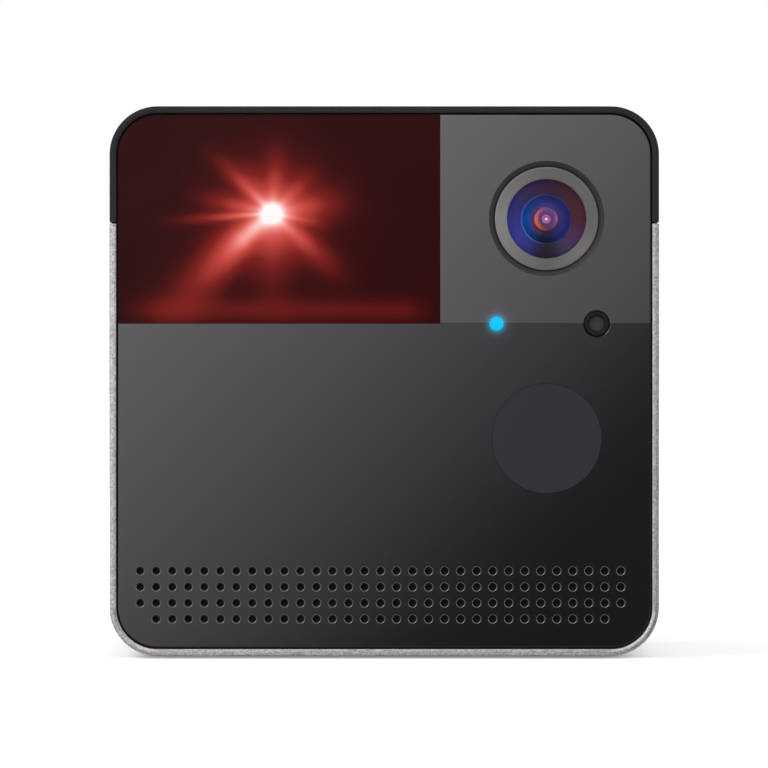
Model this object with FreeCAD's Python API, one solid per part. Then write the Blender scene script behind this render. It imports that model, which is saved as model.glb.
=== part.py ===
# Cube-shaped pet camera with a steered laser, in millimetres.
# +X is to the viewer's right, +Y runs from the front to the back, +Z is up.
# The origin is on the table, under the middle of the cube.
import FreeCAD, Part
import math
import os

V = FreeCAD.Vector

# Outer skin
body_width = 80.0
body_height = 80.0
body_depth = 84.0
skin_wall = 1.0
corner_radius = 7.0
cap_drop = 16.9
cap_seam = 0.15
skin_edge_break = 0.15
foot_proud = 0.5

# Glossy front, three panels side by side on one frame
panel_thickness = 2.0
panel_recess = 0.2
panel_gap = 0.25
panel_seam = 0.05
panel_edge_break = 0.15
eye_panel_width = 30.6
window_height = 30.4
frame_thickness = 2.2
frame_lip = 1.5

# Camera eye, measured from the top right corner of the front panels
eye_inset = 15.1
eye_hole_radius = 7.65
eye_bevel = 0.75
bezel_slope = 0.55
glass_radius = 5.74
glass_clearance = 0.05
glass_bulge = 1.6
lens_head_radius = 7.0
lens_head_length = 4.5
lens_thread_radius = 6.0
lens_length = 16.0
inner_lens_radius = 3.55
inner_lens_depth = 3.0
inner_lens_thickness = 1.4
throat_radius = 2.4

# Lamp and microphone, on the seam below the eye
port_spacing = 7.3
lamp_radius = 0.95
microphone_radius = 1.9
microphone_bore = 1.1
microphone_mesh_depth = 0.6

# Infrared window, under the eye
infrared_radius = 8.0
infrared_drop = 16.7

# Loudspeaker grille
grille_pitch = 7.0 / 3.0
grille_side = 3.2
grille_rows = 4
grille_hole_radius = 0.58
grille_hole_sides = 6
grille_rise = 4.1
grille_shift = -0.55
grille_recess_depth = 1.2
mesh_thickness = 0.3
mesh_margin = 3.0
mesh_corner = 1.5

# Inner chassis
chassis_wall = 1.4
fit = 0.1
shelf_thickness = 1.5
cable_slot_width = 18.0
cable_slot_height = 5.0
cable_slot_drop = 9.0
bulkhead_front = 35.5
bulkhead_thickness = 1.5
boss_radius = 2.8
boss_length = 6.0
pilot_radius = 0.8
screw_radius = 0.75
screw_head_radius = 1.7
screw_head_height = 1.0
screw_length = 5.0
short_screw_length = 3.2
screw_sides = 6
hidden_sides = 12
screw_sink = 0.2
small_boss_radius = 1.8
frame_screw_inset = 5.7
frame_screw_rise = 17.0
frame_screw_left_rise = 26.0
frame_screw_drop = 4.0
cover_screw_inset = 7.5
cover_screw_margin = 2.0
cover_boss_length = 12.0

# Snaps between the cap and the chassis
snap_length = 6.0
snap_height = 1.5
snap_depth = 1.1
snap_rise = 2.4
snap_spacing = 42.0

# Rear cover, power socket and reset button
cover_thickness = 2.0
cover_edge_break = 0.6
well_width = 14.0
well_height = 8.4
well_depth = 6.8
well_wall = 1.2
well_corner = 2.0
socket_width = 8.94
socket_height = 3.16
socket_length = 7.3
button_radius = 2.0
button_offset = 16.0
button_clearance = 0.1
button_flange_width = 1.0
button_flange = 0.9
button_sink = 0.15
stem_radius = 1.2
switch_width = 6.0
switch_length = 4.5
switch_half_height = 1.8
plunger_radius = 0.9
plunger_reach = 1.4

# Foot and tripod thread
foot_size = 56.0
foot_corner = 6.0
tripod_bore_radius = 2.6
tripod_bore_depth = 7.0
tripod_barrel_radius = 4.5
tripod_flange_radius = 6.5
tripod_roof = 1.7
tripod_inset = 0.3

# Laser gimbal
laser_depth = 17.0
laser_rise = 16.75
laser_offset = 1.0
base_plate_thickness = 2.0
base_reach = 15.0
base_half_depth = 9.0
gear_lift = 1.5
gear_module = 0.5
pan_gear_teeth = 40
tilt_gear_teeth = 36
pinion_teeth = 12
gear_face = 1.8
gear_addendum = 0.7
pinion_addendum = 1.0
gear_dedendum = 1.25
gear_backlash = 0.08
pressure_angle = 20.0
arm_gap = 15.0
arm_thickness = 1.5
arm_width = 5.6
arm_eye_radius = 3.2
axle_radius = 1.0
running_clearance = 0.05
cradle_size = 10.0
cradle_length = 8.0
cradle_clearance = 0.3
barrel_radius = 3.5
barrel_front = 8.0
barrel_back = 4.0
barrel_socket_radius = 2.85
laser_lens_radius = 2.2
beam_bore_radius = 1.2
motor_shaft_radius = 0.75
pan_motor_radius = 6.0
pan_motor_length = 9.0
pan_motor_ear = 2.0
pan_ear_thickness = 0.8
pan_axle_radius = 1.5
tilt_motor_radius = 4.0
tilt_motor_length = 8.5
tilt_motor_angle = 35.0

# Circuit boards
board_thickness = 1.6
main_board_width = 60.0
main_board_gap = 3.0
main_board_height = 14.0
main_board_setback = 8.8
post_size = 5.0
post_inset = 4.0
radio_inset = 13.0
radio_width = 12.0
radio_length = 14.0
radio_height = 2.2
connector_count = 3
connector_length = 10.0
connector_width = 4.0
connector_height = 2.5
processor_size = 14.0
processor_height = 1.2
heat_sink_width = 20.0
heat_sink_margin = 7.5
heat_sink_height = 8.0
fin_count = 6
fin_thickness = 1.2
small_board_thickness = 1.2

# Camera module behind the eye
camera_board_size = 24.0
camera_board_setback = 8.8
camera_post = 10.0
camera_post_size = 4.0
holder_half = 8.8
holder_depth = 7.0
holder_wall = 1.8
filter_thickness = 0.8
filter_window = 3.8
filter_border = 0.8
filter_spacing = 4.8
filter_height = 5.6
filter_clearance = 0.15
sensor_width = 8.0
sensor_height = 4.8
sensor_thickness = 1.1

# Small boards behind the lower panel
sensor_board_gap = 2.6
sensor_board_reach = 11.4
sensor_board_margin = 2.0
sensor_board_height = 5.2
infrared_board_gap = 3.4
infrared_board_radius = 10.0
infrared_screw_offset = 8.4
infrared_lamp_circle = 4.2
infrared_lamp_count = 6
infrared_lamp_size = 2.8
infrared_lamp_height = 1.6

# Loudspeaker
speaker_width = 42.0
speaker_height = 22.0
speaker_shift = -6.0
speaker_ear = 3.0
speaker_ear_rise = 3.0
speaker_ear_height = 5.0
speaker_corner = 8.0
speaker_flange = 1.2
gasket_thickness = 0.6
gasket_width = 2.0
basket_depth = 6.0
basket_rim = 3.0
cone_gap = 0.3
magnet_radius = 9.0
magnet_depth = 5.0
coil_radius = 4.5
coil_wall = 0.3
coil_gap = 0.4

# Places that follow from the sizes above
half_width = body_width / 2
front = -body_depth / 2
back = body_depth / 2
bottom = foot_proud
top = foot_proud + body_height
panel_front = front + panel_recess
panel_back = panel_front + panel_thickness
panel_inset = skin_wall + panel_gap
panel_left = -half_width + panel_inset
panel_right = half_width - panel_inset
panel_bottom = bottom + panel_inset
panel_top = top - panel_inset
panel_corner = corner_radius - panel_inset
seam_x = panel_right - eye_panel_width
seam_z = panel_top - window_height
eye_x = panel_right - eye_inset
eye_z = panel_top - eye_inset
infrared_z = seam_z - infrared_drop
frame_back = panel_back + frame_thickness
chassis_inset = skin_wall + fit
chassis_inner = chassis_inset + chassis_wall
floor_z = bottom + chassis_inner
ceiling_z = top - chassis_inner
side_x = half_width - chassis_inner
cover_back = back - panel_recess
cover_front = cover_back - cover_thickness
grille_x = grille_shift
grille_columns = 1 + int((panel_right - panel_left - 2 * grille_side) / grille_pitch)
grille_z = panel_bottom + grille_rise
grille_width = (grille_columns - 1) * grille_pitch
grille_height = (grille_rows - 1) * grille_pitch
shelf_top = seam_z - chassis_wall / 2
divider_x = seam_x
bulkhead_y = front + bulkhead_front
bulkhead_back = bulkhead_y + bulkhead_thickness
shelf_under = shelf_top - shelf_thickness
laser_x = (panel_left + seam_x) / 2 - laser_offset
laser_y = front + laser_depth
laser_z = shelf_top + laser_rise
shaft_hole_radius = motor_shaft_radius + 0.6
base_top = shelf_top + base_plate_thickness
gear_z = base_top + gear_lift
pan_gear_radius = gear_module * pan_gear_teeth / 2
tilt_gear_radius = gear_module * tilt_gear_teeth / 2
pinion_radius = gear_module * pinion_teeth / 2
pan_motor_x = laser_x + pan_gear_radius + pinion_radius
tilt_drive_distance = tilt_gear_radius + pinion_radius
tilt_motor_y = laser_y + tilt_drive_distance * math.cos(math.radians(tilt_motor_angle))
tilt_motor_z = laser_z - tilt_drive_distance * math.sin(math.radians(tilt_motor_angle))
main_board_top = main_board_height + board_thickness
main_board_back = cover_back - main_board_setback
main_board_front = bulkhead_back + main_board_gap
main_board_depth = main_board_back - main_board_front
port_z = main_board_top + socket_height / 2
speaker_x = grille_x + speaker_shift
speaker_z = floor_z + speaker_height / 2 + 0.5
speaker_face = frame_back + gasket_thickness


def box(x0, x1, y0, y1, z0, z1):
    return Part.makeBox(x1 - x0, y1 - y0, z1 - z0, V(x0, y0, z0))


def prism(points, direction, length):
    """Straight prism on a closed outline."""
    outline = Part.makePolygon(list(points) + [points[0]])
    return Part.Face(outline).extrude(direction * length)


def bar(start, direction, radius, length, sides):
    """Round bar, or with sides given, a bar with that many flats at the radius."""
    if not sides:
        return Part.makeCylinder(radius, length, start, direction)
    across = V(direction.y, direction.z, direction.x)
    up = direction.cross(across)
    step = 2 * math.pi / sides
    corner = radius / math.cos(step / 2)
    angles = [step * (k + 0.5) for k in range(sides)]
    points = [start + across * (corner * math.cos(a)) + up * (corner * math.sin(a)) for a in angles]
    return prism(points, direction, length)


def rod_x(y, z, radius, x0, x1, sides=0):
    return bar(V(x0, y, z), V(1, 0, 0), radius, x1 - x0, sides)


def rod_y(x, z, radius, y0, y1, sides=0):
    return bar(V(x, y0, z), V(0, 1, 0), radius, y1 - y0, sides)


def rod_z(x, y, radius, z0, z1, sides=0):
    return bar(V(x, y, z0), V(0, 0, 1), radius, z1 - z0, sides)


def rounded_wire(x0, x1, z0, z1, radius, y):
    """Rounded rectangle in a plane of constant y."""
    radius = min(radius, (x1 - x0) / 2 - 0.01, (z1 - z0) / 2 - 0.01)
    turn = radius * (1 - math.sqrt(0.5))
    edges = [
        Part.makeLine(V(x0 + radius, y, z0), V(x1 - radius, y, z0)),
        Part.Arc(V(x1 - radius, y, z0), V(x1 - turn, y, z0 + turn), V(x1, y, z0 + radius)).toShape(),
        Part.makeLine(V(x1, y, z0 + radius), V(x1, y, z1 - radius)),
        Part.Arc(V(x1, y, z1 - radius), V(x1 - turn, y, z1 - turn), V(x1 - radius, y, z1)).toShape(),
        Part.makeLine(V(x1 - radius, y, z1), V(x0 + radius, y, z1)),
        Part.Arc(V(x0 + radius, y, z1), V(x0 + turn, y, z1 - turn), V(x0, y, z1 - radius)).toShape(),
        Part.makeLine(V(x0, y, z1 - radius), V(x0, y, z0 + radius)),
        Part.Arc(V(x0, y, z0 + radius), V(x0 + turn, y, z0 + turn), V(x0 + radius, y, z0)).toShape(),
    ]
    return Part.Wire(edges)


def slab(x0, x1, z0, z1, radius, y0, y1):
    """Rounded rectangle, extruded along y."""
    return Part.Face(rounded_wire(x0, x1, z0, z1, radius, y0)).extrude(V(0, y1 - y0, 0))


def slab_about(x, z, width, height, radius, y0, y1):
    return slab(x - width / 2, x + width / 2, z - height / 2, z + height / 2, radius, y0, y1)


def pad(x0, x1, y0, y1, radius, z0, z1):
    """Rounded rectangle, extruded along z."""
    lying = slab(x0, x1, y0, y1, radius, 0, z1 - z0)
    lying.rotate(V(0, 0, 0), V(1, 0, 0), -90)
    return lying.translated(V(0, 0, z1))


def block_about(x, z, width, height, cut, y0, y1):
    """Rectangle with its corners cut off, extruded along y, for what stays hidden."""
    x0, x1, z0, z1 = x - width / 2, x + width / 2, z - height / 2, z + height / 2
    corners = [
        (x0 + cut, z0), (x1 - cut, z0), (x1, z0 + cut), (x1, z1 - cut),
        (x1 - cut, z1), (x0 + cut, z1), (x0, z1 - cut), (x0, z0 + cut),
    ]
    return prism([V(a, y0, b) for a, b in corners], V(0, 1, 0), y1 - y0)


def inset_slab(inset, y0, y1):
    """The cube's outline, drawn in by inset, extruded along y."""
    return slab(
        -half_width + inset, half_width - inset, bottom + inset, top - inset,
        max(corner_radius - inset, 0.5), y0, y1,
    )


def turned(profile, x, y, z, axis):
    """Solid of revolution. profile is a list of (radius, distance along the axis)."""
    points = [V(r, 0, d) for r, d in profile]
    face = Part.Face(Part.makePolygon(points + [points[0]]))
    solid = face.revolve(V(0, 0, 0), V(0, 0, 1), 360)
    if axis == "y":
        solid.rotate(V(0, 0, 0), V(1, 0, 0), -90)
    if axis == "x":
        solid.rotate(V(0, 0, 0), V(0, 1, 0), 90)
    return solid.translated(V(x, y, z))


def edges_on_plane(shape, axis, value):
    """Edges that lie wholly in the plane where the given coordinate has that value."""
    return [
        edge for edge in shape.Edges
        if all(abs(getattr(p, axis) - value) < 1e-4 for p in edge.discretize(3))
    ]


def screw(x, y, z, direction, length=screw_length):
    """Screw with a plain head. The point is under the head, and direction runs along the shank."""
    seat = V(x, y, z)
    height = screw_head_height
    head = bar(seat - direction * height, direction, screw_head_radius, height, screw_sides)
    shank = bar(seat, direction, screw_radius, length, screw_sides)
    return head.fuse(shank).removeSplitter()


def save(name, *solids):
    shape = solids[0] if len(solids) == 1 else Part.makeCompound(list(solids))
    shape.exportStep(os.path.join("parts", name + ".step"))


def skin_tube():
    """The whole outer skin, with its front and back edges broken, before the cap is parted off."""
    tube = inset_slab(0, front, back).cut(inset_slab(skin_wall, front - 1, back + 1))
    rims = edges_on_plane(tube, "y", front) + edges_on_plane(tube, "y", back)
    return tube.makeChamfer(skin_edge_break, rims)


def body_shell(tube):
    """Bead-blasted aluminium wrap: two sides and the bottom, open on top, with a window for the foot."""
    seam = top - cap_drop
    reach = half_width + 1
    shell = tube.common(box(-reach, reach, front - 1, back + 1, bottom - 1, seam - cap_seam))
    reach = foot_size / 2 + fit
    return shell.cut(pad(-reach, reach, -reach, reach, foot_corner + fit, bottom - 1, bottom + skin_wall + 1))


snap_places = [(side, y) for side in (-1, 1) for y in (-snap_spacing / 2, snap_spacing / 2)]
snap_z = top - cap_drop + snap_rise


def snap_block(side, y, grow):
    inner = half_width - skin_wall - snap_depth - grow
    outer = half_width - skin_wall
    x0, x1 = sorted((side * inner, side * outer))
    return box(
        x0, x1, y - snap_length / 2 - grow, y + snap_length / 2 + grow,
        snap_z - grow, snap_z + snap_height + grow,
    )


def top_cap(tube):
    """Plastic roof that lets the radio out, with four snaps."""
    seam = top - cap_drop
    cap = tube.common(box(-half_width - 1, half_width + 1, front - 1, back + 1, seam, top + 1))
    return cap.fuse([snap_block(side, y, 0) for side, y in snap_places]).removeSplitter()


def front_outline():
    """The three front panels as one plate, with its outer edge broken."""
    plate = inset_slab(panel_inset, panel_front, panel_back)
    return plate.makeChamfer(panel_edge_break, edges_on_plane(plate, "y", panel_front))


def seam_ports(grow):
    """The lamp and microphone holes, which both cross the seam."""
    lamp = rod_y(eye_x - port_spacing, seam_z, lamp_radius + grow, panel_front - 1, panel_back + 1)
    x = eye_x + port_spacing
    microphone = rod_y(x, seam_z, microphone_radius + grow, panel_front - 1, panel_back + 1)
    return [lamp, microphone]


def laser_window(plate):
    """Deep red tinted acrylic, the top left of the front."""
    return plate.common(
        box(
            panel_left - 1, seam_x - panel_seam, panel_front - 1, panel_back + 1,
            seam_z + panel_seam, panel_top + 1,
        )
    )


def camera_panel(plate):
    """Dark grey gloss panel round the eye, the top right of the front."""
    corner = plate.common(
        box(seam_x, panel_right + 1, panel_front - 1, panel_back + 1, seam_z + panel_seam, panel_top + 1)
    )
    hole = rod_y(eye_x, eye_z, eye_hole_radius, panel_front - 1, panel_back + 1)
    bevel = Part.makeCone(
        eye_hole_radius + eye_bevel, eye_hole_radius, eye_bevel, V(eye_x, panel_front, eye_z), V(0, 1, 0)
    )
    return corner.cut([hole, bevel] + seam_ports(fit / 3))


def grille_places():
    """Centres of the sound holes. The lowest row leaves out its first and last hole."""
    places = []
    for row in range(grille_rows):
        ends = 1 if row == 0 else 0
        for column in range(ends, grille_columns - ends):
            x = grille_x - grille_width / 2 + column * grille_pitch
            places.append((x, grille_z + row * grille_pitch))
    return places


def grille_panel(plate):
    """Dark gloss panel with the sound holes and the opening for the infrared window."""
    lower = plate.common(box(
        panel_left - 1, panel_right + 1, panel_front - 1, panel_back + 1, panel_bottom - 1, seam_z
    ))
    infrared = rod_y(eye_x, infrared_z, infrared_radius, panel_front - 1, panel_back + 1)
    holes = [
        rod_y(x, z, grille_hole_radius, panel_front - 1, panel_back + 1, grille_hole_sides)
        for x, z in grille_places()
    ]
    lower = lower.cut([infrared] + seam_ports(fit / 3))
    return lower.cut(Part.makeCompound(holes))


def infrared_window():
    """Dark disc, flush in the lower panel, that the night lamps shine through."""
    return rod_y(eye_x, infrared_z, infrared_radius - fit / 3, panel_front, panel_back)


frame_screws = [
    (-half_width + frame_screw_inset, floor_z + frame_screw_left_rise),
    (-half_width + frame_screw_inset, shelf_under - frame_screw_drop),
    (half_width - frame_screw_inset, floor_z + frame_screw_rise),
    (half_width - frame_screw_inset, top - frame_screw_inset),
]
infrared_screws = [(eye_x, infrared_z + side * infrared_screw_offset) for side in (-1, 1)]
sensor_screws = [(eye_x - sensor_board_reach, seam_z), (eye_x, seam_z)]
speaker_ear_z = speaker_z + speaker_ear_rise
speaker_ear_reach = (speaker_width + speaker_ear) / 2
speaker_screws = [(speaker_x + side * speaker_ear_reach, speaker_ear_z) for side in (-1, 1)]
frame_screw_seat = panel_back + screw_head_height + fit
sensor_board_front = frame_back + sensor_board_gap
infrared_board_front = frame_back + infrared_board_gap


def front_frame():
    """Black frame that carries the panels and, behind them, the small boards and the loudspeaker."""
    frame = inset_slab(chassis_inset, panel_back, frame_back)
    radius, sides = small_boss_radius, hidden_sides
    bosses = [rod_y(x, z, radius, panel_back, sensor_board_front, sides) for x, z in sensor_screws]
    bosses += [rod_y(x, z, radius, panel_back, infrared_board_front, sides) for x, z in infrared_screws]
    frame = frame.fuse(bosses).removeSplitter()
    y0, y1 = panel_back - 1, frame_back + 1
    cuts = [
        slab(
            panel_left + frame_lip, seam_x - frame_lip, seam_z + frame_lip, panel_top - frame_lip,
            panel_corner - frame_lip, y0, y1,
        ),
        rod_y(eye_x, eye_z, lens_head_radius + 2 * fit, y0, y1),
        rod_y(eye_x, infrared_z, infrared_lamp_circle + infrared_lamp_size * 0.8, y0, y1, hidden_sides),
        rod_y(eye_x - port_spacing, seam_z, lamp_radius + fit / 2, y0, y1, hidden_sides),
        rod_y(eye_x + port_spacing, seam_z, microphone_radius, y0, y1, hidden_sides),
        block_about(
            grille_x, grille_z + grille_height / 2, grille_width + mesh_margin, grille_height + mesh_margin,
            mesh_corner, y0, panel_back + grille_recess_depth,
        ),
        block_about(
            speaker_x, speaker_z, speaker_width - 2 * basket_rim, speaker_height - 2 * basket_rim,
            speaker_corner - basket_rim, y0, y1,
        ),
    ]
    for x, z in frame_screws:
        cuts.append(rod_y(x, z, screw_radius + 2 * fit, y0, y1, screw_sides))
        cuts.append(rod_y(x, z, screw_head_radius + fit, y0, frame_screw_seat, screw_sides))
    for x, z in speaker_screws:
        cuts.append(rod_y(x, z, pilot_radius, panel_back + fit, y1, screw_sides))
    for x, z in sensor_screws:
        cuts.append(rod_y(x, z, pilot_radius, panel_back + fit, sensor_board_front + 1, screw_sides))
    for x, z in infrared_screws:
        cuts.append(rod_y(x, z, pilot_radius, panel_back + fit, infrared_board_front + 1, screw_sides))
    return frame.cut(cuts)


cover_screw_x = half_width - cover_screw_inset
cover_screw_edge = cover_screw_inset + cover_screw_margin
cover_screw_heights = (bottom + cover_screw_edge, top - cover_screw_edge)
cover_screws = [(x, z) for x in (-cover_screw_x, cover_screw_x) for z in cover_screw_heights]
post_x = main_board_width / 2 - post_inset
board_posts = [
    (x, y)
    for x in (-post_x, post_x)
    for y in (main_board_front + post_inset, main_board_back - post_inset)
]
camera_board_back = bulkhead_y - camera_board_setback
camera_posts = [(eye_x - camera_post, eye_z + camera_post), (eye_x + camera_post, eye_z - camera_post)]


def boss_to_wall(x, z, y0, y1, radius):
    """Round screw boss along y, tied to the nearer side wall by a rib."""
    wall = math.copysign(side_x + chassis_wall / 2, x)
    rib = box(min(x, wall), max(x, wall), y0, y1, z - radius * 0.7, z + radius * 0.7)
    return rod_y(x, z, radius, y0, y1, hidden_sides).fuse(rib)


def inner_chassis():
    """Moulded inner body: a sleeve, the laser's shelf and side wall, a bulkhead, posts and bosses."""
    sleeve = inset_slab(chassis_inset, frame_back, cover_front)
    sleeve = sleeve.cut(inset_slab(chassis_inner, frame_back - 1, cover_front + 1))
    inside_x = side_x + chassis_wall / 2
    inside_top = ceiling_z + chassis_wall / 2
    inner_block = inset_slab(chassis_inner - chassis_wall / 2, frame_back, cover_front)
    divider_right = divider_x + shelf_thickness
    ribs = [
        box(-inside_x, divider_right, frame_back, bulkhead_back, shelf_under, shelf_top),
        box(divider_x, divider_right, frame_back, bulkhead_back, shelf_under, inside_top),
        box(-inside_x, inside_x, bulkhead_y, bulkhead_back, floor_z - chassis_wall / 2, inside_top),
    ]
    for x, z in frame_screws:
        ribs.append(boss_to_wall(x, z, frame_back, frame_back + boss_length, boss_radius))
    for x, z in cover_screws:
        ribs.append(boss_to_wall(x, z, cover_front - cover_boss_length, cover_front, boss_radius))
    ribs = [rib.common(inner_block) for rib in ribs]
    for x, y in board_posts:
        half = post_size / 2
        z0 = floor_z - chassis_wall / 2
        ribs.append(box(x - half, x + half, y - half, y + half, z0, main_board_height))
    reach = camera_post_size / 2
    for x, z in camera_posts:
        ribs.append(box(
            x - reach, x + reach, camera_board_back, bulkhead_y + bulkhead_thickness / 2, z - reach, z + reach
        ))
    chassis = sleeve.fuse(ribs).removeSplitter()
    cuts = [
        rod_z(0, 0, tripod_barrel_radius + fit, bottom, floor_z + 1),
        rod_z(0, 0, tripod_flange_radius + fit, floor_z, tripod_inset + tripod_bore_depth + 3, hidden_sides),
        rod_z(pan_motor_x, laser_y, shaft_hole_radius, shelf_under - 1, shelf_top + 1, hidden_sides),
        block_about(
            0, shelf_top - cable_slot_drop, cable_slot_width, cable_slot_height, cable_slot_height / 4,
            bulkhead_y - 1, bulkhead_back + 1,
        ),
    ]
    deep = frame_back + boss_length - 0.8
    cuts += [rod_y(x, z, pilot_radius, frame_back - 1, deep, screw_sides) for x, z in frame_screws]
    deep = cover_front - boss_length
    cuts += [rod_y(x, z, pilot_radius, deep, cover_front + 1, screw_sides) for x, z in cover_screws]
    deep = main_board_height - screw_length
    cuts += [rod_z(x, y, pilot_radius, deep, main_board_height + 1, screw_sides) for x, y in board_posts]
    deep = camera_board_back + screw_length
    cuts += [rod_y(x, z, pilot_radius, camera_board_back - 1, deep, screw_sides) for x, z in camera_posts]
    shelf_holes = base_screws + pan_motor_screws
    cuts += [rod_z(x, y, pilot_radius, shelf_under - 1, shelf_top + 1, screw_sides) for x, y in shelf_holes]
    for side, y in snap_places:
        cuts.append(snap_block(side, y, fit))
    return chassis.cut(cuts)


def rear_cover():
    """Black back plate with a well for the power plug, the reset button's hole and four sunk screws."""
    cover = inset_slab(panel_inset, cover_front, cover_back)
    cover = cover.makeChamfer(cover_edge_break, edges_on_plane(cover, "y", cover_back))
    well_front = cover_back - well_depth - well_wall
    cover = cover.fuse(slab_about(
        0, port_z, well_width + 2 * well_wall, well_height + 2 * well_wall, well_corner + well_wall,
        well_front, cover_front + 0.5,
    )).removeSplitter()
    cuts = [
        slab_about(0, port_z, well_width, well_height, well_corner, cover_back - well_depth, cover_back + 1),
        slab_about(
            0, port_z, socket_width + 2 * fit, socket_height + 2 * fit, socket_height / 2 - fit,
            well_front - 1, cover_back,
        ),
        rod_y(button_offset, port_z, button_radius + button_clearance, cover_front - 3, cover_back + 1),
    ]
    for x, z in cover_screws:
        cuts.append(rod_y(x, z, screw_radius + 2 * fit, cover_front - 1, cover_back + 1, screw_sides))
        cuts.append(rod_y(x, z, screw_head_radius + 6 * fit, cover_screw_seat, cover_back + 1))
    return cover.cut(cuts)


button_flange_radius = button_radius + button_flange_width


cover_screw_seat = cover_back - screw_head_height - screw_sink


def reset_button():
    """Round cap in the back, with the flange that keeps it in and the stem that reaches the switch."""
    cap = rod_y(button_offset, port_z, button_radius, cover_front - 1.5, cover_back - button_sink)
    flange_back = cover_front - button_clearance / 2
    flange_front = flange_back - button_flange
    flange = rod_y(button_offset, port_z, button_flange_radius, flange_front, flange_back, 2 * hidden_sides)
    stem_front = main_board_back + plunger_reach
    stem = rod_y(button_offset, port_z, stem_radius, stem_front, cover_front - 1.0, hidden_sides)
    return cap.fuse([flange, stem]).removeSplitter()


def reset_switch():
    half = switch_width / 2
    case = box(
        button_offset - half, button_offset + half, main_board_back - switch_length, main_board_back,
        main_board_top, port_z + switch_half_height,
    )
    y0 = main_board_back - 2.2
    return case.cut(rod_y(button_offset, port_z, plunger_radius + fit, y0, main_board_back + 1))


def switch_plunger():
    y1 = main_board_back + plunger_reach
    return rod_y(button_offset, port_z, plunger_radius, main_board_back - 1.5, y1)


def power_socket():
    """Reversible power socket, its mouth just short of the well's floor."""
    y1 = cover_back - well_depth - 0.4
    y0 = y1 - socket_length
    case = slab_about(0, port_z, socket_width, socket_height, socket_height / 2 - 0.01, y0, y1)
    mouth = slab_about(0, port_z, socket_width - 0.6, socket_height - 0.6, 1.2, y0 + 1, y1 + 1)
    tongue = box(-3.3, 3.3, y1 - socket_length + 0.5, y1 - 0.8, port_z - 0.35, port_z + 0.35)
    return case.cut(mouth).fuse(tongue).removeSplitter()


def foot_pad():
    """Rubber foot that fills the window in the shell and stands a little proud of it."""
    half = foot_size / 2
    rubber = pad(-half, half, -half, half, foot_corner, 0, bottom + chassis_inset)
    return rubber.cut(rod_z(0, 0, tripod_barrel_radius + 3 * fit, -1, bottom + chassis_inset + 1))


def tripod_insert():
    """Brass insert with a blind quarter-inch thread, drawn as its plain bore."""
    z0 = tripod_inset
    z1 = z0 + tripod_bore_depth + tripod_roof
    profile = [
        (tripod_bore_radius, z0), (tripod_barrel_radius, z0), (tripod_barrel_radius, floor_z),
        (tripod_flange_radius, floor_z), (tripod_flange_radius, z1), (0, z1),
        (0, z0 + tripod_bore_depth), (tripod_bore_radius, z0 + tripod_bore_depth),
    ]
    return turned(profile, 0, 0, 0, "z")


# Camera module, along y from the eye to its board
bezel_outer = eye_hole_radius - fit
bezel_inner = glass_radius + glass_clearance
bezel_front = panel_front + eye_bevel * 0.55
glass_back = panel_front + glass_bulge + 0.3
lens_face = bezel_front + bezel_slope + 0.35
lens_back = lens_face + lens_length
camera_board_front = camera_board_back - small_board_thickness
holder_front = camera_board_front - holder_depth
filter_y = holder_front + 2.0
filter_start = eye_x - filter_window / 2 - filter_border
filter_length = filter_spacing + filter_window + 2 * filter_border


def lens_bezel():
    """Shallow funnel of grey metal between the panel and the glass."""
    profile = [
        (bezel_inner, bezel_front + bezel_slope), (bezel_outer, bezel_front), (bezel_outer, lens_face),
        (bezel_inner, lens_face),
    ]
    return turned(profile, eye_x, 0, eye_z, "y")


def lens_glass():
    """Front element: a dome with a flat back."""
    rim = glass_back - 0.3
    bulge = (glass_radius ** 2 + glass_bulge ** 2) / (2 * glass_bulge)
    ball = Part.makeSphere(bulge, V(eye_x, rim - glass_bulge + bulge, eye_z))
    return ball.common(rod_y(eye_x, eye_z, glass_radius, rim - glass_bulge - 1, glass_back))


def lens_barrel():
    """Black barrel with a stepped bore and the thread that screws into the holder."""
    seat = glass_back
    bore = glass_radius + glass_clearance
    shoulder = lens_face + lens_head_length
    inner_seat = seat + inner_lens_depth
    profile = [
        (bore, lens_face), (lens_head_radius, lens_face), (lens_head_radius, shoulder),
        (lens_thread_radius, shoulder), (lens_thread_radius, lens_back), (throat_radius, lens_back),
        (throat_radius, inner_seat), (inner_lens_radius + 0.05, inner_seat),
        (inner_lens_radius + 0.05, seat), (bore, seat),
    ]
    return turned(profile, eye_x, 0, eye_z, "y")


def lens_inner_element():
    """Second element, seated on the barrel's inner step."""
    seat = glass_back + inner_lens_depth
    return rod_y(eye_x, eye_z, inner_lens_radius, seat - inner_lens_thickness, seat)


def lens_holder():
    """Threaded tube on a square box that hides the filter and the sensor."""
    tube_front = lens_face + lens_head_length + 1.0
    tube = rod_y(eye_x, eye_z, lens_thread_radius + holder_wall, tube_front, holder_front + 0.5, hidden_sides)
    case = box(
        eye_x - holder_half, eye_x + holder_half, holder_front, camera_board_front,
        eye_z - holder_half + 1, eye_z + holder_half - 1,
    )
    reach = filter_spacing + eye_x - filter_start + 2 * filter_clearance
    slot_top = filter_height / 2 + filter_clearance
    slot = box(
        eye_x - reach, eye_x + reach,
        filter_y - filter_clearance, filter_y + filter_thickness + filter_clearance,
        eye_z - slot_top, eye_z + slot_top,
    )
    sensor_room = box(
        eye_x - sensor_width / 2 - 1, eye_x + sensor_width / 2 + 1, filter_y, camera_board_front + 1,
        eye_z - sensor_height / 2 - fit, eye_z + sensor_height / 2 + fit,
    )
    bore = rod_y(eye_x, eye_z, lens_thread_radius + fit, lens_face, holder_front + 0.8)
    throat = rod_y(eye_x, eye_z, throat_radius, lens_face, filter_y, hidden_sides)
    return tube.fuse(case).removeSplitter().cut([slot, sensor_room, bore, throat])


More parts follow.
